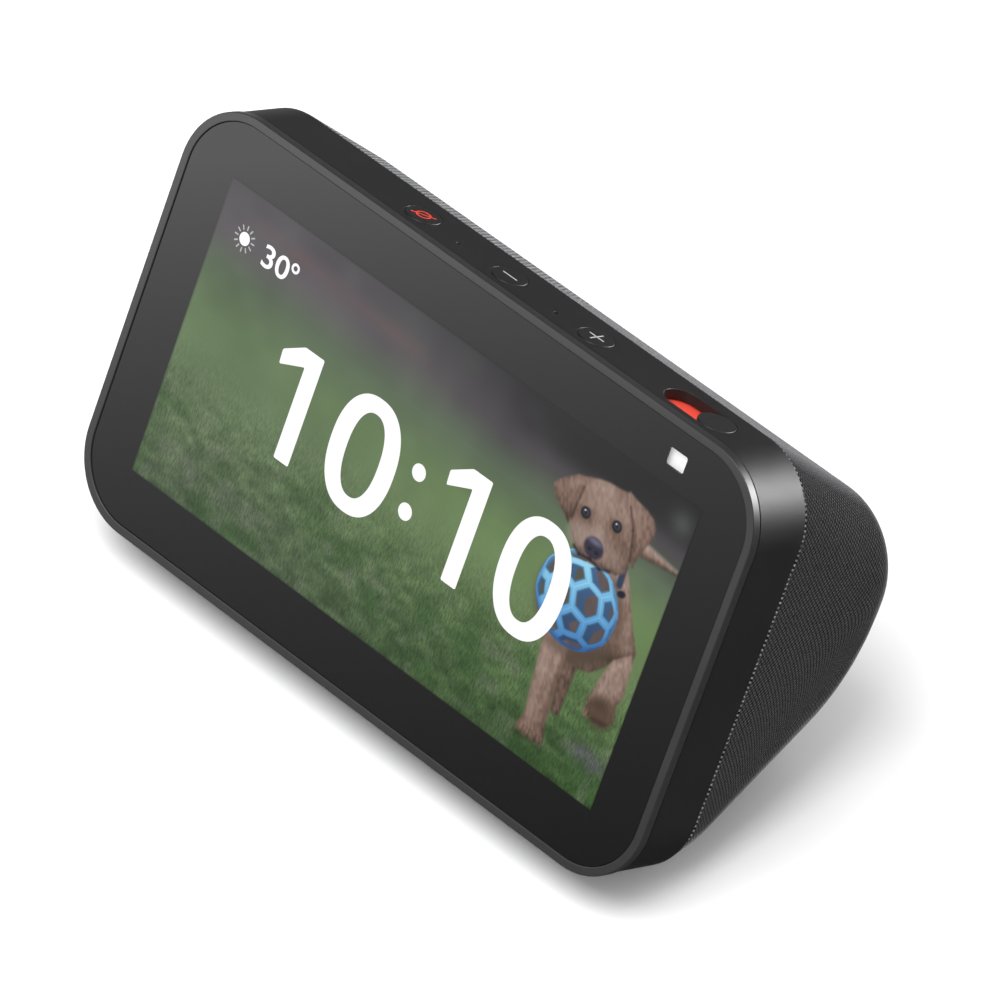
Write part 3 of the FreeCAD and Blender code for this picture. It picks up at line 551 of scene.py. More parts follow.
def ring_mark(name, across, up, outer, inner, level, sides=48, squareness=2.0):
    """A flat ring between two ovals; outer and inner are half sizes."""
    bpy.ops.object.select_all(action="DESELECT")
    bpy.ops.mesh.primitive_circle_add(vertices=sides, radius=MM, location=(0, 0, 0))
    piece = named(name)

    def widen():
        bpy.ops.mesh.extrude_region_move()

    edit(piece, widen)
    for vertex in piece.data.vertices:
        half = inner if vertex.select else outer
        angle = math.atan2(vertex.co.y, vertex.co.x)
        reach_x = math.copysign(abs(math.cos(angle)) ** (2 / squareness), math.cos(angle))
        reach_y = math.copysign(abs(math.sin(angle)) ** (2 / squareness), math.sin(angle))
        vertex.co = ((across + reach_x * half[0]) * MM, (up + reach_y * half[1]) * MM, level * MM)
    face_out(piece)
    return piece


def face_out(piece):
    """Turns a flat mark's faces to look out of the surface it lies on."""
    edit(piece, lambda: bpy.ops.mesh.normals_make_consistent(inside=False))
    if piece.data.polygons[0].normal.z < 0:
        edit(piece, bpy.ops.mesh.flip_normals)


def flat_mark(name, outline, level, soften=0.0):
    """A flat filled shape from its outline, with its corners softened."""
    bpy.ops.object.select_all(action="DESELECT")
    bpy.ops.mesh.primitive_circle_add(vertices=len(outline), radius=MM, fill_type="NGON")
    piece = named(name)
    for vertex, (across, up) in zip(piece.data.vertices, outline):
        vertex.co = (across * MM, up * MM, level * MM)
    if soften:
        edit(piece, lambda: bpy.ops.mesh.bevel(offset=soften * MM, segments=4, affect="VERTICES"))
    face_out(piece)
    return piece


def disc_outline(across, up, radius, sides=32):
    """Points round a circle."""
    turns = [2 * math.pi * step / sides for step in range(sides)]
    return [(across + radius * math.cos(turn), up + radius * math.sin(turn)) for turn in turns]


def bar_outline(across, up, long, wide, angle):
    """The corners of a bar that lies at an angle."""
    cosine, sine = math.cos(math.radians(angle)), math.sin(math.radians(angle))
    corners = ((-long / 2, -wide / 2), (long / 2, -wide / 2), (long / 2, wide / 2), (-long / 2, wide / 2))
    return [(across + x * cosine - y * sine, up + x * sine + y * cosine) for x, y in corners]


def join(pieces, name):
    """Several flat marks as one piece."""
    bpy.ops.object.select_all(action="DESELECT")
    for piece in pieces:
        piece.select_set(True)
    bpy.context.view_layer.objects.active = pieces[0]
    bpy.ops.object.join()
    pieces[0].name = name
    pieces[0].data.name = name
    return pieces[0]


MARK_LEVEL = 0.012
BUTTON_ROW = 7.1
MUTE_AT, DOWN_AT, UP_AT = -22.9, -0.4, 21.9


def bar_mark(name, across, long=3.6, wide=0.34, angle=0, soften=0.1):
    """One printed bar on the row of buttons."""
    return flat_mark(name, bar_outline(across, BUTTON_ROW, long, wide, angle), MARK_LEVEL, soften)


mute = join([ring_mark("mute_ring", MUTE_AT, BUTTON_ROW, (1.5, 1.5), (1.14, 1.14), MARK_LEVEL),
             bar_mark("mute_slash", MUTE_AT, 4.9, 0.36, 37, 0.12)], "mute_mark")
minus = bar_mark("minus_mark", DOWN_AT)
plus = join([bar_mark("plus_first", UP_AT), bar_mark("plus_second", UP_AT, angle=90)], "plus_mark")
for mark, material, body in ((mute, RED_MARK, "mute_key"), (minus, PALE_MARK, "volume_down_key"),
                             (plus, PALE_MARK, "volume_up_key")):
    dress(settle(mark, TOP), material, body)

FIGURE_LEVEL = 0.05
ONE = [(-31.2, 7.5), (-37.0, 5.2), (-37.2, 8.1), (-32.4, 10.96), (-27.4, 10.96), (-27.4, -10.9),
       (-31.2, -10.9)]
SECOND_PAIR = 44.25
SUN_PLACE = (-53.7, 21.5)


def make_clock():
    """The figures of the clock, the sun and the reading beside it."""
    figures = []
    for number, shift in enumerate((0.0, SECOND_PAIR), start=1):
        outline = [(across + shift, up) for across, up in ONE]
        figures.append(flat_mark("clock_one_%d" % number, outline, FIGURE_LEVEL, 0.35))
        figures.append(ring_mark("clock_nought_%d" % number, shift - 12.37, 0.0, (8.15, 11.5), (4.1, 8.35),
                                 FIGURE_LEVEL, 96, 2.3))
    for up in (3.9, -4.1):
        figures.append(flat_mark("clock_dot", disc_outline(0.7, up, 1.65), FIGURE_LEVEL))
    figures.append(flat_mark("sun_disc", disc_outline(*SUN_PLACE, 1.28), FIGURE_LEVEL))
    figures.append(ring_mark("degree_ring", -40.5, 22.6, (1.0, 1.0), (0.5, 0.5), FIGURE_LEVEL, 32))
    bpy.ops.object.select_all(action="DESELECT")
    bpy.ops.object.text_add()
    reading = bpy.context.active_object
    reading.data.body = "30"
    reading.data.offset = 0.012
    bpy.ops.object.convert(target="MESH")
    reading = named("reading")
    spots = np.array([vertex.co for vertex in reading.data.vertices])
    low, high = spots.min(0), spots.max(0)
    box = (-48.5, 19.1, -41.8, 23.5)
    for vertex in reading.data.vertices:
        share = (vertex.co.x - low[0]) / (high[0] - low[0]), (vertex.co.y - low[1]) / (high[1] - low[1])
        across, up = [box[side] + share[side] * (box[side + 2] - box[side]) for side in (0, 1)]
        vertex.co = (across * MM, up * MM, FIGURE_LEVEL * MM)
    edit(reading, lambda: bpy.ops.mesh.remove_doubles(threshold=0.001 * MM))
    figures.append(reading)
    dress(settle(join(figures, "lit_figures"), FACE), WHITE_LIGHT)
    rays = []
    for angle, middle in zip(range(0, 360, 30), disc_outline(*SUN_PLACE, 2.12, 12)):
        rays.append(flat_mark("sun_ray", bar_outline(*middle, 0.95, 0.3, angle), FIGURE_LEVEL, 0.08))
    dress(settle(join(rays, "sun_rays"), FACE), SOFT_LIGHT)


make_clock()


# ---------------------------------------------------------------- the lit picture

PICTURE_LEFT, PICTURE_RIGHT, PICTURE_TALL = -61.0, 61.0, 30.5
FINE_FROM = 28.0


def ease(low, high, value):
    """Runs smoothly from 0 to 1 between two values."""
    share = np.clip((value - low) / (high - low), 0, 1)
    return share * share * (3 - 2 * share)


def wander(u, v, size, seed):
    """Values from 0 to 1 that drift smoothly over a size in millimetres."""
    lattice = np.random.default_rng(seed).random((256, 256))
    x, y = u / size + 100, v / size + 100
    column, row = np.floor(x).astype(int), np.floor(y).astype(int)
    right, above = x - column, y - row
    right, above = right * right * (3 - 2 * right), above * above * (3 - 2 * above)
    column, row = column % 255, row % 255
    under = lattice[row, column] * (1 - right) + lattice[row, column + 1] * right
    over = lattice[row + 1, column] * (1 - right) + lattice[row + 1, column + 1] * right
    return under * (1 - above) + over * above


def oval(u, v, across, up, half_wide, half_tall, angle=0.0):
    """Distance outside an oval in millimetres, and the place inside it as shares of its half sizes."""
    turn = math.radians(angle)
    x = (u - across) * math.cos(turn) + (v - up) * math.sin(turn)
    y = (v - up) * math.cos(turn) - (u - across) * math.sin(turn)
    x, y = x / half_wide, y / half_tall
    return (np.hypot(x, y) - 1) * min(half_wide, half_tall), x, y


def limb(u, v, first, last, first_radius, last_radius):
    """Distance outside a rounded bar that tapers, and the place across and up it."""
    run_x, run_y = last[0] - first[0], last[1] - first[1]
    share = np.clip(((u - first[0]) * run_x + (v - first[1]) * run_y) / (run_x ** 2 + run_y ** 2), 0, 1)
    x, y = u - first[0] - share * run_x, v - first[1] - share * run_y
    radius = first_radius + share * (last_radius - first_radius)
    return np.hypot(x, y) - radius, x / radius, y / radius


def outline_shape(u, v, points):
    """Distance outside a many-sided outline, and the place in it as shares of its half sizes."""
    nearest = np.full(u.shape, 1e9)
    inside = np.zeros(u.shape, bool)
    for (x0, y0), (x1, y1) in zip(points, points[1:] + points[:1]):
        run_x, run_y = x1 - x0, y1 - y0
        share = np.clip(((u - x0) * run_x + (v - y0) * run_y) / (run_x ** 2 + run_y ** 2), 0, 1)
        nearest = np.minimum(nearest, np.hypot(u - x0 - share * run_x, v - y0 - share * run_y))
        if run_y:
            crosses = (y0 > v) != (y1 > v)
            inside ^= crosses & (u < x0 + (v - y0) * run_x / run_y)
    xs, ys = [point[0] for point in points], [point[1] for point in points]
    middle, rise = (min(xs) + max(xs)) / 2, (min(ys) + max(ys)) / 2
    distance = np.where(inside, -nearest, nearest)
    return distance, (u - middle) / (max(xs) - middle), (v - rise) / (max(ys) - rise)


def shade(*colour):
    return np.array(colour, float)


def blend(colours, paint, cover):
    """Lays paint over the colours where cover says, from 0 to 1."""
    colours += (paint - colours) * cover[:, None]


def pick(amount, *stops):
    """A colour from a run of stops, by an amount from 0 to 1."""
    amount = np.clip(amount, 0, 1) * (len(stops) - 1)
    index = np.minimum(amount.astype(int), len(stops) - 2)
    share = (amount - index)[:, None]
    table = np.array(stops)
    return table[index] * (1 - share) + table[index + 1] * share


# height up the picture, then the colour at its left and its right
GARDEN = (
    (30.0, (92, 90, 93), (52, 52, 53)),
    (21.0, (102, 98, 101), (70, 68, 70)),
    (14.0, (96, 110, 90), (96, 110, 90)),
    (5.0, (106, 126, 93), (108, 132, 88)),
    (-6.0, (108, 127, 95), (108, 130, 88)),
    (-16.0, (98, 116, 86), (82, 106, 68)),
    (-30.0, (88, 102, 80), (58, 82, 48)),
)


def paint_garden(u, v):
    """A blurred dusk garden: a dim wall above, a lawn below that comes into focus."""
    levels = [row[0] for row in GARDEN][::-1]
    colours = np.zeros((len(u), 3))
    to_right = ease(-50, 55, u)
    for part in range(3):
        left = np.interp(v, levels, [row[1][part] for row in GARDEN][::-1])
        right = np.interp(v, levels, [row[2][part] for row in GARDEN][::-1])
        colours[:, part] = left * (1 - to_right) + right * to_right
    haze = wander(u, v, 9.0, 3) * 0.6 + wander(u, v, 4.0, 4) * 0.4 - 0.5
    colours += haze[:, None] * shade(13, 15, 11)
    upper = ease(17, 21, v)
    streak = np.exp(-((v - 24.5 + 0.05 * (u + 30)) / 1.6) ** 2) * ease(-58, -44, u) * ease(4, -16, u)
    blend(colours, shade(118, 92, 92), streak * 0.3 * (0.5 + wander(u, v, 5.0, 8)))
    dark_bank = np.exp(-((v - 20.5) / 2.2) ** 2) * ease(-2, 22, u) * upper
    blend(colours, shade(88, 82, 88), dark_bank * 0.4)
    dusk = ease(20.5, 25.5, v) * ease(12, 34, u)
    blend(colours, shade(50, 49, 50), dusk * 0.7)
    glint = np.exp(-(((u - 58) / 2.6) ** 2 + ((v - 26) / 2.4) ** 2))
    blend(colours, shade(92, 100, 98), glint * 0.6)
    tufts = wander(u, v * 1.6, 2.4, 11) - 0.5
    near = ease(-3, -18, v)
    colours += (tufts * near)[:, None] * shade(26, 28, 20)
    hollow = wander(u, v * 1.3, 6.0, 14)
    blend(colours, shade(60, 88, 52), near * ease(0.5, 0.85, hollow) * 0.45)
    blend(colours, shade(118, 122, 108), near * ease(0.62, 0.9, wander(u, v, 3.2, 15)) * 0.35)
    mauve = np.exp(-(((u - 57) / 5) ** 2 + ((v + 22.3) / 1.8) ** 2)) * (0.4 + wander(u, v, 1.2, 16))
    blend(colours, shade(98, 92, 108), np.clip(mauve, 0, 1) * 0.75)
    return colours


DEEP_FUR, DARK_FUR = shade(60, 48, 44), shade(96, 78, 68)
FUR, PALE_FUR, BRIGHT_FUR = shade(132, 108, 97), shade(160, 138, 128), shade(188, 170, 162)


def furry(colours, u, v, shape, tone=0.5, light=0.22, edge=0.35):
    """A furry part: darker towards its lower right edge, with short strokes of hair."""
    distance, x, y = shape
    strokes = wander(u * 2.2 + v * 0.9, v * 1.1 - u * 0.5, 1.0, 21) - 0.5
    patches = wander(u, v, 2.6, 22) - 0.5
    rim = ease(-1.4, 0.0, distance)
    amount = tone + light * y - 0.5 * light * x + 0.22 * strokes + 0.16 * patches - 0.12 * rim
    coat = pick(amount, DEEP_FUR, DARK_FUR, FUR, PALE_FUR, BRIGHT_FUR)
    blend(colours, coat, 1 - ease(-edge, edge, distance))


def dab(colours, shape, colour, strength=1.0, edge=0.4):
    """A soft patch of one colour in a shape."""
    blend(colours, colour, (1 - ease(-edge, edge, shape[0])) * strength)


def paint_puppy_body(colours, u, v):
    """The tail, the far legs, the chest and the two front legs, one of them raised."""
    furry(colours, u, v, limb(u, v, (52.5, 17.6), (60.3, 17.6), 1.35, 0.35), 0.62, 0.35, 0.6)
    furry(colours, u, v, limb(u, v, (45.6, -8.5), (46.2, -18.2), 1.9, 1.15), 0.34, 0.1, 0.5)
    furry(colours, u, v, limb(u, v, (53.2, -12.0), (52.6, -15.2), 1.1, 0.7), 0.6, 0.1, 0.6)
    chest = [(43.0, 10.0), (50.6, 12.6), (52.4, 9.6), (55.4, 4.4), (58.2, 0.3), (58.4, -2.4), (53.8, -4.4),
             (52.4, -6.4), (50.2, -8.5), (47.0, -9.3), (44.6, -7.9), (40.0, -7.0)]
    furry(colours, u, v, outline_shape(u, v, chest), 0.55, 0.2)
    dab(colours, limb(u, v, (46.0, -7.6), (52.6, -3.8), 1.7, 1.4), shade(68, 62, 50), 0.85, 1.8)
    dab(colours, limb(u, v, (53.4, -4.0), (57.8, -0.4), 0.25, 0.2), DEEP_FUR, 0.6, 0.9)
    dab(colours, limb(u, v, (54.0, 3.0), (56.4, -0.2), 0.5, 0.5), PALE_FUR, 0.5, 1.4)
    dab(colours, oval(u, v, 43.5, 1.0, 10.6, 10.0), DARK_FUR, 0.55, 1.2)
    raised = [(54.2, -3.6), (57.6, -0.6), (58.7, -3.0), (58.6, -5.6), (59.1, -8.0), (58.3, -10.8),
              (58.8, -13.4), (57.9, -15.2), (56.1, -16.2), (53.9, -15.6), (52.5, -13.9),
              (52.4, -11.1), (52.8, -8.1)]
    furry(colours, u, v, outline_shape(u, v, raised), 0.6, 0.2)
    dab(colours, oval(u, v, 55.4, -13.4, 3.2, 2.8, 8), shade(82, 66, 54), 0.8, 1.4)
    dab(colours, limb(u, v, (54.2, -15.5), (57.4, -15.0), 0.4, 0.4), DEEP_FUR, 0.7, 0.6)
    dab(colours, oval(u, v, 54.8, -12.4, 1.4, 1.0), DEEP_FUR, 0.35, 1.0)
    leg = [(38.3, -5.0), (38.4, -8.0), (39.0, -13.0), (39.6, -18.0), (40.2, -22.6), (39.2, -25.0),
           (39.8, -26.0), (42.6, -26.4), (45.9, -25.9), (46.1, -24.9), (45.5, -22.6), (44.8, -17.8),
           (44.5, -12.0), (44.4, -6.0)]
    furry(colours, u, v, outline_shape(u, v, leg), 0.58, 0.16)
    dab(colours, limb(u, v, (39.6, -8.2), (41.0, -22.0), 0.5, 0.4), PALE_FUR, 0.45, 1.0)
    dab(colours, limb(u, v, (44.0, -9.0), (44.6, -22.0), 0.35, 0.4), DARK_FUR, 0.6, 0.8)
    dab(colours, oval(u, v, 42.0, -7.6, 3.4, 1.3), DARK_FUR, 0.7, 1.0)
    for toe in (41.0, 42.6, 44.4):
        dab(colours, limb(u, v, (toe, -24.6), (toe - 0.1, -26.0), 0.08, 0.12), DEEP_FUR, 0.7, 0.3)
    dab(colours, limb(u, v, (39.6, -26.6), (46.4, -26.4), 0.3, 0.3), shade(44, 56, 38), 0.6, 0.9)


def ball_faces():
    """The directions of the twelve five-sided and twenty six-sided openings of the ball."""
    golden = (1 + math.sqrt(5)) / 2
    fives = []
    for first in (-1, 1):
        for second in (-golden, golden):
            fives += [(0, first, second), (first, second, 0), (second, 0, first)]
    fives = np.array(fives, float)
    fives /= np.linalg.norm(fives, axis=1)[:, None]
    sixes = []
    for a in range(12):
        for b in range(a + 1, 12):
            for c in range(b + 1, 12):
                if min(fives[a] @ fives[b], fives[b] @ fives[c], fives[a] @ fives[c]) > 0.4:
                    middle = fives[a] + fives[b] + fives[c]
                    sixes.append(middle / np.linalg.norm(middle))
    return fives, np.array(sixes)


BALL_PLACE, BALL_HALF, BALL_ROLL = (42.5, 1.8), (9.65, 8.8), -23.0
FIVE_LEVEL, SIX_LEVEL = 0.939, 0.915


def ball_bars(x, y, z):
    """How far each place on the ball is from the middle of the nearest bar; 0 is on the bar."""
    fives, sixes = ball_faces()
    front = Vector((0.24, 0.10, 0.96)).normalized()
    turn = Vector(sixes[0]).rotation_difference(front).to_matrix()
    roll = Matrix.Rotation(math.radians(BALL_ROLL), 3, front)
    spin = np.array(roll @ turn)
    places = np.stack([x, y, z], 1)
    near = np.concatenate([places @ (fives @ spin.T).T / FIVE_LEVEL,
                           places @ (sixes @ spin.T).T / SIX_LEVEL], 1)
    best = np.sort(near, axis=1)
    return best[:, -1] - best[:, -2]


def paint_ball(colours, u, v):
    """The blue ball of open bars, with the far side seen through its openings."""
    distance, x, y = oval(u, v, *BALL_PLACE, *BALL_HALF)
    within = np.clip(1 - x * x - y * y, 0, 1)
    z = np.sqrt(within)
    over = (1 - ease(-0.15, 0.2, distance))
    blend(colours, shade(74, 74, 84), over * 0.5)
    far = ball_bars(x * 0.97, y * 0.97, -z)
    inner = pick(0.5 + 0.4 * y, shade(44, 66, 98), shade(74, 112, 156))
    blend(colours, inner, over * (1 - ease(0.05, 0.09, far)) * 0.9)
    gap = ball_bars(x, y, z)
    width = 0.064 - 0.012 * z
    bar = (1 - ease(width - 0.006, width + 0.012, gap)) * over
    body = pick(0.45 + 0.42 * y - 0.18 * x, shade(66, 116, 172), shade(98, 160, 208), shade(132, 196, 232),
                shade(172, 226, 246))
    blend(colours, body * 0.72, (1 - ease(width + 0.012, width + 0.034, gap)) * over * 0.9)
    blend(colours, body, bar)
    crest = (1 - ease(0.0, 0.02, gap)) * over * z
    blend(colours, shade(178, 226, 246), crest * (0.35 + 0.35 * y))
    rim = ease(-1.3, -0.1, distance) * over
    blend(colours, pick(0.5 + 0.5 * y, shade(46, 84, 140), shade(110, 172, 214)), rim * 0.7)


def paint_puppy_head(colours, u, v):
    """The head from the front, turned a little to its left, with its ears, eyes and nose."""
    collar = limb(u, v, (49.6, 12.6), (49.9, 9.2), 0.8, 0.7)
    dab(colours, collar, shade(52, 66, 90), 0.95, 0.3)
    dab(colours, oval(u, v, 51.0, 7.9, 0.95, 0.65, 20), shade(36, 38, 50), 0.95, 0.25)
    left_ear = [(36.4, 23.2), (33.5, 22.2), (30.1, 19.4), (29.1, 18.0), (29.8, 16.6), (31.2, 15.6),
                (33.4, 14.4), (34.9, 13.2), (35.6, 15.5), (35.6, 18.0), (36.4, 21.2)]
    furry(colours, u, v, outline_shape(u, v, left_ear), 0.5, 0.2)
    skull = [(35.2, 21.6), (36.2, 23.1), (38.2, 23.9), (40.6, 24.5), (43.4, 24.7), (45.4, 25.1), (47.6, 23.8),
             (50.0, 20.0), (50.4, 15.0), (50.2, 11.6), (48.4, 10.2), (46.2, 10.0), (42.2, 9.2), (38.8, 9.9),
             (36.6, 11.4), (35.0, 14.2), (34.6, 18.0)]
    furry(colours, u, v, outline_shape(u, v, skull), 0.52, 0.16)
    dab(colours, oval(u, v, 40.0, 21.2, 3.4, 2.2), PALE_FUR, 0.25, 2.0)
    dab(colours, limb(u, v, (41.2, 19.5), (41.6, 15.0), 1.0, 1.2), PALE_FUR, 0.4, 1.4)
    dab(colours, limb(u, v, (35.6, 20.8), (35.2, 14.6), 0.12, 0.25), DEEP_FUR, 0.8, 0.5)
    right_ear = [(45.4, 25.3), (47.2, 24.8), (50.0, 24.3), (52.0, 23.6), (53.1, 22.2), (53.3, 20.4),
                 (52.4, 18.0), (51.7, 16.2), (51.2, 13.3), (50.2, 14.3), (49.6, 16.8),
                 (48.7, 19.4), (46.6, 22.9)]
    furry(colours, u, v, outline_shape(u, v, right_ear), 0.5, 0.18)
    crease = ((46.5, 22.9), (48.6, 19.5), (49.5, 16.8), (50.2, 14.2))
    for start, end in zip(crease, crease[1:]):
        dab(colours, limb(u, v, start, end, 0.1, 0.14), DEEP_FUR, 0.85, 0.45)
    dab(colours, limb(u, v, (45.2, 25.0), (47.8, 22.0), 0.2, 0.2), BRIGHT_FUR, 0.3, 0.6)
    dab(colours, oval(u, v, 37.9, 12.6, 2.6, 2.2), BRIGHT_FUR, 0.4, 1.2)
    dab(colours, oval(u, v, 46.4, 12.4, 2.6, 2.0), BRIGHT_FUR, 0.3, 1.2)
    dab(colours, oval(u, v, 42.0, 14.6, 2.6, 1.3), BRIGHT_FUR, 0.4, 1.2)
    for across, up, tilt in ((37.8, 16.9, 12), (45.1, 18.2, 8)):
        dab(colours, oval(u, v, across, up + 0.1, 1.75, 1.5, tilt), DARK_FUR, 0.6, 0.8)
        dab(colours, oval(u, v, across - 0.1, up + 1.5, 1.5, 0.4, tilt), PALE_FUR, 0.55, 0.5)
        dab(colours, oval(u, v, across, up, 1.12, 1.08), shade(34, 32, 38), 0.95, 0.25)
        dab(colours, oval(u, v, across + 0.05, up + 0.1, 0.72, 0.62), shade(78, 90, 110), 0.8, 0.3)
        dab(colours, oval(u, v, across + 0.05, up, 0.32, 0.32), shade(20, 20, 26), 0.9, 0.2)
        dab(colours, oval(u, v, across - 0.25, up + 0.4, 0.2, 0.16), shade(226, 230, 236), 0.9, 0.12)
    dab(colours, oval(u, v, 42.0, 12.1, 2.3, 1.95), shade(60, 58, 72), 1.0, 0.35)
    dab(colours, oval(u, v, 41.9, 13.3, 1.6, 0.55), shade(122, 118, 138), 0.8, 0.5)
    for across in (41.2, 42.9):
        dab(colours, oval(u, v, across, 11.6, 0.42, 0.3), shade(26, 22, 28), 0.9, 0.2)
    dab(colours, limb(u, v, (42.0, 10.6), (42.1, 9.9), 0.15, 0.15), DEEP_FUR, 0.8, 0.3)
    mouth = ((37.8, 10.3), (39.4, 9.5), (42.0, 9.9), (44.6, 9.4), (46.8, 10.1))
    for start, end in zip(mouth, mouth[1:]):
        dab(colours, limb(u, v, start, end, 0.22, 0.22), shade(40, 32, 40), 0.85, 0.4)


REFLECTED = 0.046


def glass_haze(u, v):
    """The light that the glass adds over the picture, brighter at its upper left."""
    return REFLECTED * np.exp(-0.36 - 0.59 * u / 73 + 0.64 * v / 42)


def painted(u, v):
    """The picture's own light at each place: the painted colour less what the glass adds."""
    colours = paint_garden(u, v)
    right = u > 26
    ru, rv = u[right], v[right]
    part = colours[right]
    paint_puppy_body(part, ru, rv)
    paint_ball(part, ru, rv)
    paint_puppy_head(part, ru, rv)
    colours[right] = part
    share = np.clip(colours, 0, 255) / 255
    light = np.where(share <= 0.04045, share / 12.92, ((share + 0.055) / 1.055) ** 2.4)
    edge = np.minimum(np.minimum(u - PICTURE_LEFT, PICTURE_RIGHT - u), PICTURE_TALL - np.abs(v))
    return np.clip(light - glass_haze(u, v)[:, None], 0.0, 1.0) * ease(0.0, 0.45, edge)[:, None]


def in_puppy(u, v):
    """Where no grass shows, because the puppy or its ball is in front."""
    shapes = (oval(u, v, *BALL_PLACE, *BALL_HALF), oval(u, v, 42.6, 17.5, 9.0, 8.5),
              oval(u, v, 55.8, -6.0, 3.4, 10.8), limb(u, v, (41.5, -6.0), (42.6, -24.0), 3.4, 3.2),
              oval(u, v, 50.0, 1.0, 7.0, 10.0),
              limb(u, v, (45.8, -8.5), (46.2, -18.2), 1.9, 1.3))
    nearest = np.min([shape[0] for shape in shapes], axis=0)
    return 1 - ease(-0.3, 0.3, nearest)


def picture_part(name, left, right, cell):
    """A fine grid over part of the picture that carries the painted colours."""
    bpy.ops.object.select_all(action="DESELECT")
    columns, rows = round((right - left) / cell), round(2 * PICTURE_TALL / cell)
    bpy.ops.mesh.primitive_grid_add(x_subdivisions=columns, y_subdivisions=rows, size=MM,
                                    location=((left + right) / 2 * MM, 0, 0.02 * MM))
    piece = named(name)
    piece.scale = (right - left, 2 * PICTURE_TALL, 1)
    only(piece)
    bpy.ops.object.transform_apply(location=True, rotation=True, scale=True)
    count = len(piece.data.vertices)
    spots = np.zeros(count * 3, np.float32)
    piece.data.vertices.foreach_get("co", spots)
    spots = spots.reshape(-1, 3).astype(float) / MM
    u, v = spots[:, 0], spots[:, 1]
    paint = np.ones((count, 4), np.float32)
    paint[:, :3] = painted(u, v)
    open_lawn = 1 - in_puppy(u, v)
    blades = ease(2, -14, v) * open_lawn * 0.9 + 0.06 * ease(14, 2, v) * open_lawn
    for label, kind, key, values in (("paint", "FLOAT_COLOR", "color", paint),
                                     ("spot", "FLOAT_VECTOR", "vector", spots),
                                     ("sharp", "FLOAT", "value", blades)):
        layer = piece.data.attributes.new(label, kind, "POINT")
        layer.data.foreach_set(key, values.astype(np.float32).ravel())
    return dress(settle(piece, FACE), PICTURE)


picture_part("picture_lawn", PICTURE_LEFT, FINE_FROM, 0.3)
picture_part("picture_puppy", FINE_FROM, PICTURE_RIGHT, 0.16)


# ---------------------------------------------------------------- the fabric

REAR_DEPTH, FRAME_BACK = 39.5, 14.0
HALF_HIGH, HALF_WIDE = 42.5, 73.3
TOP_ROUND, UNDER_ROUND = 13.8, 8.0
TOP_SLOPE, UNDER_START = 0.45, 5.0
UPPER_CORNER, UPPER_END, LOWER_GROWTH = 14.5, 12.5, 0.76
HEM_ROLL = 0.45
REAR_MAP = (0.0, 200.0)
GROUND_LEVEL = 2.5
CLOTH_THICK = 0.8
REAR_RINGS = (0.8, 0.55, 0.3, 0.0)
NICHE_REACH, NICHE_SPARE = 40 * MM, 0.3 * MM
UNDER_STEPS, SIDE_START, SIDE_STEPS = 30, 48, 26


def curl(depth, radius):
    """How far a side has curled in towards the rear, along its last quarter round."""
    along = max(0.0, depth - (REAR_DEPTH - radius)) / radius
    return radius * (1 - math.sqrt(max(0.0, 1 - along * along)))


def cloth_outline(depth, inset):
    """Points round the body at a depth behind the band, from under the middle up the right side."""
    top = HALF_HIGH - TOP_SLOPE * depth - curl(depth, TOP_ROUND) - inset
    bottom = -HALF_HIGH + math.tan(LEAN) * max(0.0, depth - UNDER_START) + curl(depth, UNDER_ROUND) + inset
    side = HALF_WIDE - curl(depth, TOP_ROUND) - inset
    upper = UPPER_CORNER + depth / REAR_DEPTH * (UPPER_END - UPPER_CORNER) - inset
    lower = min(UPPER_CORNER + LOWER_GROWTH * depth - inset, (top - bottom) * 0.97 - upper)
    points = []

    def run(start, end, steps):
        for step in range(steps):
            share = step / steps
            points.append((start[0] + (end[0] - start[0]) * share, start[1] + (end[1] - start[1]) * share))

    def turn(centre, radius, first, steps):
        for step in range(steps):
            angle = math.radians(first + 90 * step / steps)
            points.append((centre[0] + radius * math.cos(angle), centre[1] + radius * math.sin(angle)))

    run((0, bottom), (side - lower, bottom), UNDER_STEPS)
    turn((side - lower, bottom + lower), lower, -90, SIDE_START - UNDER_STEPS)
    run((side, bottom + lower), (side, top - upper), SIDE_STEPS)
    turn((side - upper, top - upper), upper, 0, 16)
    run((side - upper, top), (0, top), 34)
    right = points[:]
    mirrored = [(-across, up) for across, up in reversed(right[1:])]
    return right + [(0, top)] + mirrored + [(0, bottom)]


def cloth_rings():
    """Every ring of the cloth: its points in the face's frame, and its place on the cloth in mm."""
    depths = [0.0, 0.12, 0.28, HEM_ROLL]
    depths += list(np.linspace(1.3, REAR_DEPTH - TOP_ROUND, 18))
    for angle in range(5, 88, 4):
        depths.append(REAR_DEPTH - TOP_ROUND + TOP_ROUND * math.sin(math.radians(angle)))
    places, marks = [], []
    walked = 0.0
    for depth in depths:
        share = min(1.0, depth / HEM_ROLL)
        inset = HEM_ROLL * (1 - math.sqrt(1 - (1 - share) ** 2))
        outline = np.array(cloth_outline(depth, inset))
        ring = np.column_stack([outline, np.full(len(outline), -FRAME_BACK - depth)])
        if places:
            walked = walked + np.linalg.norm(ring - places[-1], axis=1)
        length = np.concatenate([[0], np.cumsum(np.linalg.norm(np.diff(ring, axis=0), axis=1))])
        side_middle = SIDE_START + np.argmin(np.abs(ring[SIDE_START:SIDE_START + SIDE_STEPS, 1]))
        zero = length[side_middle] - ring[side_middle, 1]
        across = np.minimum(length, length[-1] - length) - zero
        places.append(ring)
        marks.append(np.column_stack([across, np.zeros(len(ring)) + walked]))
    rim = places[-1]
    centre = rim.mean(0)
    for share in REAR_RINGS:
        places.append(centre + (rim - centre) * share)
        marks.append(marks[-1])
    return np.array(places), np.array(marks), len(depths) - 1


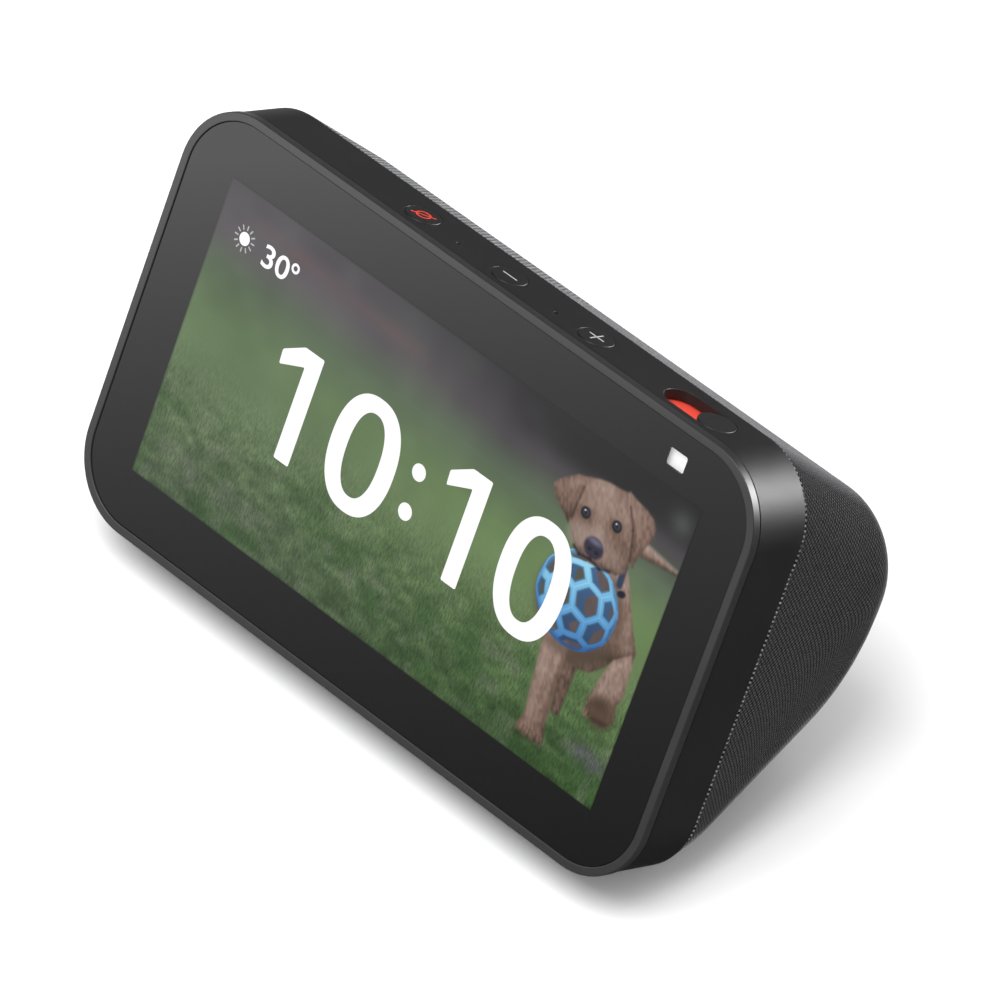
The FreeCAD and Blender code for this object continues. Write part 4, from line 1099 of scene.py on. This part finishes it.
def make_cloth_cover():
    """The stretched fabric: a grid wrapped round the body, given its thickness and its opening."""
    places, marks, rim_row = cloth_rings()
    rows, columns = places.shape[0] - 1, places.shape[1] - 1
    bpy.ops.object.select_all(action="DESELECT")
    bpy.ops.mesh.primitive_grid_add(x_subdivisions=columns, y_subdivisions=rows, size=2)
    cloth = named("fabric_cover")
    picks = []
    for vertex in cloth.data.vertices:
        column = round((vertex.co.x + 1) / 2 * columns)
        row = round((vertex.co.y + 1) / 2 * rows)
        picks.append((row, column))
    flat_map = cloth.data.uv_layers[0]
    flat_map.name = "cloth"
    for face in cloth.data.polygons:
        on_rear = min(picks[index][0] for index in face.vertices) >= rim_row
        for loop in face.loop_indices:
            spot = picks[cloth.data.loops[loop].vertex_index]
            flat_map.data[loop].uv = places[spot][:2] + REAR_MAP if on_rear else marks[spot]
    for vertex, spot in zip(cloth.data.vertices, picks):
        vertex.co = Vector(places[spot]) * MM
    settle(cloth, FACE)

    def close():
        bpy.ops.mesh.remove_doubles(threshold=0.002 * MM)
        bpy.ops.mesh.normals_make_consistent(inside=False)

    edit(cloth, close)
    apply_modifier(cloth, "SOLIDIFY", thickness=CLOTH_THICK * MM, offset=-1.0)
    bpy.ops.object.select_all(action="DESELECT")
    plate_low, plate_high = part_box("port_plate")
    middle = (plate_low + plate_high) / 2
    wide, tall = plate_high.x - plate_low.x + NICHE_SPARE, plate_high.z - plate_low.z + NICHE_SPARE
    bpy.ops.mesh.primitive_cylinder_add(vertices=48, radius=tall / 2, depth=NICHE_REACH, location=(0, 0, 0),
                                        rotation=(math.radians(90), 0, 0))
    cutter = named("niche_cutter")
    only(cutter)
    bpy.ops.object.transform_apply(location=True, rotation=True, scale=True)
    reach = (wide - tall) / 2
    for vertex in cutter.data.vertices:
        vertex.co.x += math.copysign(reach, vertex.co.x) if abs(vertex.co.x) > 1e-6 else 0.0
    cutter.data.transform(Matrix.Translation((middle.x, middle.y + NICHE_REACH / 2, middle.z)))
    carve(cloth, cutter)

    def trim():
        bpy.ops.mesh.bisect(plane_co=(0, 0, GROUND_LEVEL * MM), plane_no=(0, 0, 1), use_fill=True,
                            clear_inner=True)

    edit(cloth, trim)
    smooth_faces(cloth, 50)
    dress(cloth, CLOTH, "root", ("fabric_wrap",))
    return cloth


cover = make_cloth_cover()


# ---------------------------------------------------------------- floor, light and camera

def make_floor():
    """A pale studio floor that runs far past the view."""
    material, shader, wires = new_material("pale_studio_floor")
    speck = wires.noise(wires.object_place(), 40.0)
    wires.put(shader.inputs["Base Color"], wires.mix(speck, (0.93, 0.93, 0.93, 1), (0.94, 0.94, 0.94, 1)))
    shader.inputs["Roughness"].default_value = 0.9
    shader.inputs["Specular IOR Level"].default_value = 0.0
    bpy.ops.object.select_all(action="DESELECT")
    bpy.ops.mesh.primitive_plane_add(size=40)
    floor = named("studio_floor")
    floor.data.materials.append(material)
    floor.visible_glossy = False


SKY_LEVEL = 1.1
ROOM_LEVEL = 0.07
ROOM_LAMPS = (
    # direction it shines from, how narrow it is, strength
    ((0.39, 0.90, 0.18), 40.0, 38.0),
    ((-0.67, 0.65, -0.36), 20.0, 0.58),
)


def make_world():
    """Even white light for matte surfaces, and a dim room with soft lamps for glossy ones."""
    world = bpy.data.worlds.new("studio_room")
    bpy.context.scene.world = world
    world.use_nodes = True
    tree = world.node_tree
    tree.nodes.clear()
    wires = Wires(tree)
    direction = tree.nodes.new("ShaderNodeTexCoord").outputs["Generated"]
    glow = ROOM_LEVEL
    for toward, sharpness, strength in ROOM_LAMPS:
        dot = tree.nodes.new("ShaderNodeVectorMath")
        dot.operation = "DOT_PRODUCT"
        wires.put(dot.inputs[0], direction)
        dot.inputs[1].default_value = Vector(toward).normalized()
        facing = wires.math("MAXIMUM", dot.outputs["Value"], 0.0)
        lobe = wires.math("MULTIPLY", wires.math("POWER", facing, sharpness), strength)
        glow = wires.math("ADD", glow, lobe)
    rays = tree.nodes.new("ShaderNodeLightPath")
    strength = tree.nodes.new("ShaderNodeMix")
    wires.put(strength.inputs[0], rays.outputs["Is Glossy Ray"])
    strength.inputs[2].default_value = SKY_LEVEL
    wires.put(strength.inputs[3], glow)
    background = tree.nodes.new("ShaderNodeBackground")
    wires.put(background.inputs["Strength"], strength.outputs[0])
    output = tree.nodes.new("ShaderNodeOutputWorld")
    tree.links.new(background.outputs[0], output.inputs["Surface"])


KEY_PLACE, KEY_AIM = (0.12, -0.7, 1.9), (0, 0, 0.03)
KEY_SIZE, KEY_POWER = 1.3, 33.0


def soft_box(name, place, aim, size, power):
    """A square studio lamp that points at a place."""
    bpy.ops.object.select_all(action="DESELECT")
    bpy.ops.object.light_add(type="AREA", location=place)
    lamp = bpy.context.active_object
    lamp.name = name
    lamp.data.energy = power
    lamp.data.size = size
    lamp.rotation_mode = "QUATERNION"
    lamp.rotation_quaternion = (Vector(aim) - Vector(place)).to_track_quat("-Z", "Y")
    return lamp


CARD_PLACE = Vector((-0.0856, -0.0614, 0.115))
CARD_SIZE = (0.38, 0.26)
CARD_BRIGHTEST = 2.1
CARD_FALL = (-2.82, 3.60)
CARD_LEVEL = -0.66


def make_glass_card():
    """A graded card in front of the glass that only reflections see."""
    material = bpy.data.materials.new("graded_card")
    material.use_nodes = True
    tree = material.node_tree
    tree.nodes.clear()
    wires = Wires(tree)
    split = tree.nodes.new("ShaderNodeSeparateXYZ")
    card_map = tree.nodes.new("ShaderNodeUVMap")
    card_map.uv_map = "UVMap"
    wires.put(split.inputs[0], card_map.outputs[0])
    across = wires.math("MULTIPLY", split.outputs[0], CARD_FALL[0])
    up = wires.math("MULTIPLY", split.outputs[1], CARD_FALL[1])
    level = wires.math("EXPONENT", wires.math("ADD", wires.math("ADD", across, up), CARD_LEVEL))
    light = tree.nodes.new("ShaderNodeEmission")
    wires.put(light.inputs["Strength"], wires.math("MINIMUM", level, CARD_BRIGHTEST))
    output = tree.nodes.new("ShaderNodeOutputMaterial")
    tree.links.new(light.outputs[0], output.inputs["Surface"])
    bpy.ops.object.select_all(action="DESELECT")
    bpy.ops.mesh.primitive_plane_add(size=1)
    card = named("graded_card")
    card.data.transform(Matrix.Diagonal((CARD_SIZE[0], CARD_SIZE[1], 1, 1)))
    card.data.transform(FACE @ Matrix.Translation(CARD_PLACE))
    card.data.materials.append(material)
    card.visible_camera = False
    card.visible_diffuse = False
    card.visible_shadow = False
    card.visible_transmission = False


AIM = Vector((0.01195, -0.00737, 0.04619))
AZIMUTH, ELEVATION, ROLL = 46.84, 42.02, 0.39
DISTANCE = 1.735
LENS = 351.96


def make_camera():
    """The camera at the viewing angle: from the front right and above, with a long lens."""
    bpy.ops.object.select_all(action="DESELECT")
    bpy.ops.object.camera_add()
    camera = bpy.context.active_object
    camera.data.lens = LENS
    camera.data.sensor_width = 36
    camera.data.clip_start = 0.05
    place = (Matrix.Translation(AIM) @ Matrix.Rotation(math.radians(AZIMUTH), 4, "Z")
             @ Matrix.Rotation(math.radians(90 - ELEVATION), 4, "X")
             @ Matrix.Rotation(math.radians(ROLL), 4, "Z") @ Matrix.Translation((0, 0, DISTANCE)))
    camera.matrix_world = place
    bpy.context.scene.camera = camera


make_floor()
make_world()
make_glass_card()
soft_box("key_lamp", KEY_PLACE, KEY_AIM, KEY_SIZE, KEY_POWER)
make_camera()
bpy.context.scene.view_settings.view_transform = "Standard"
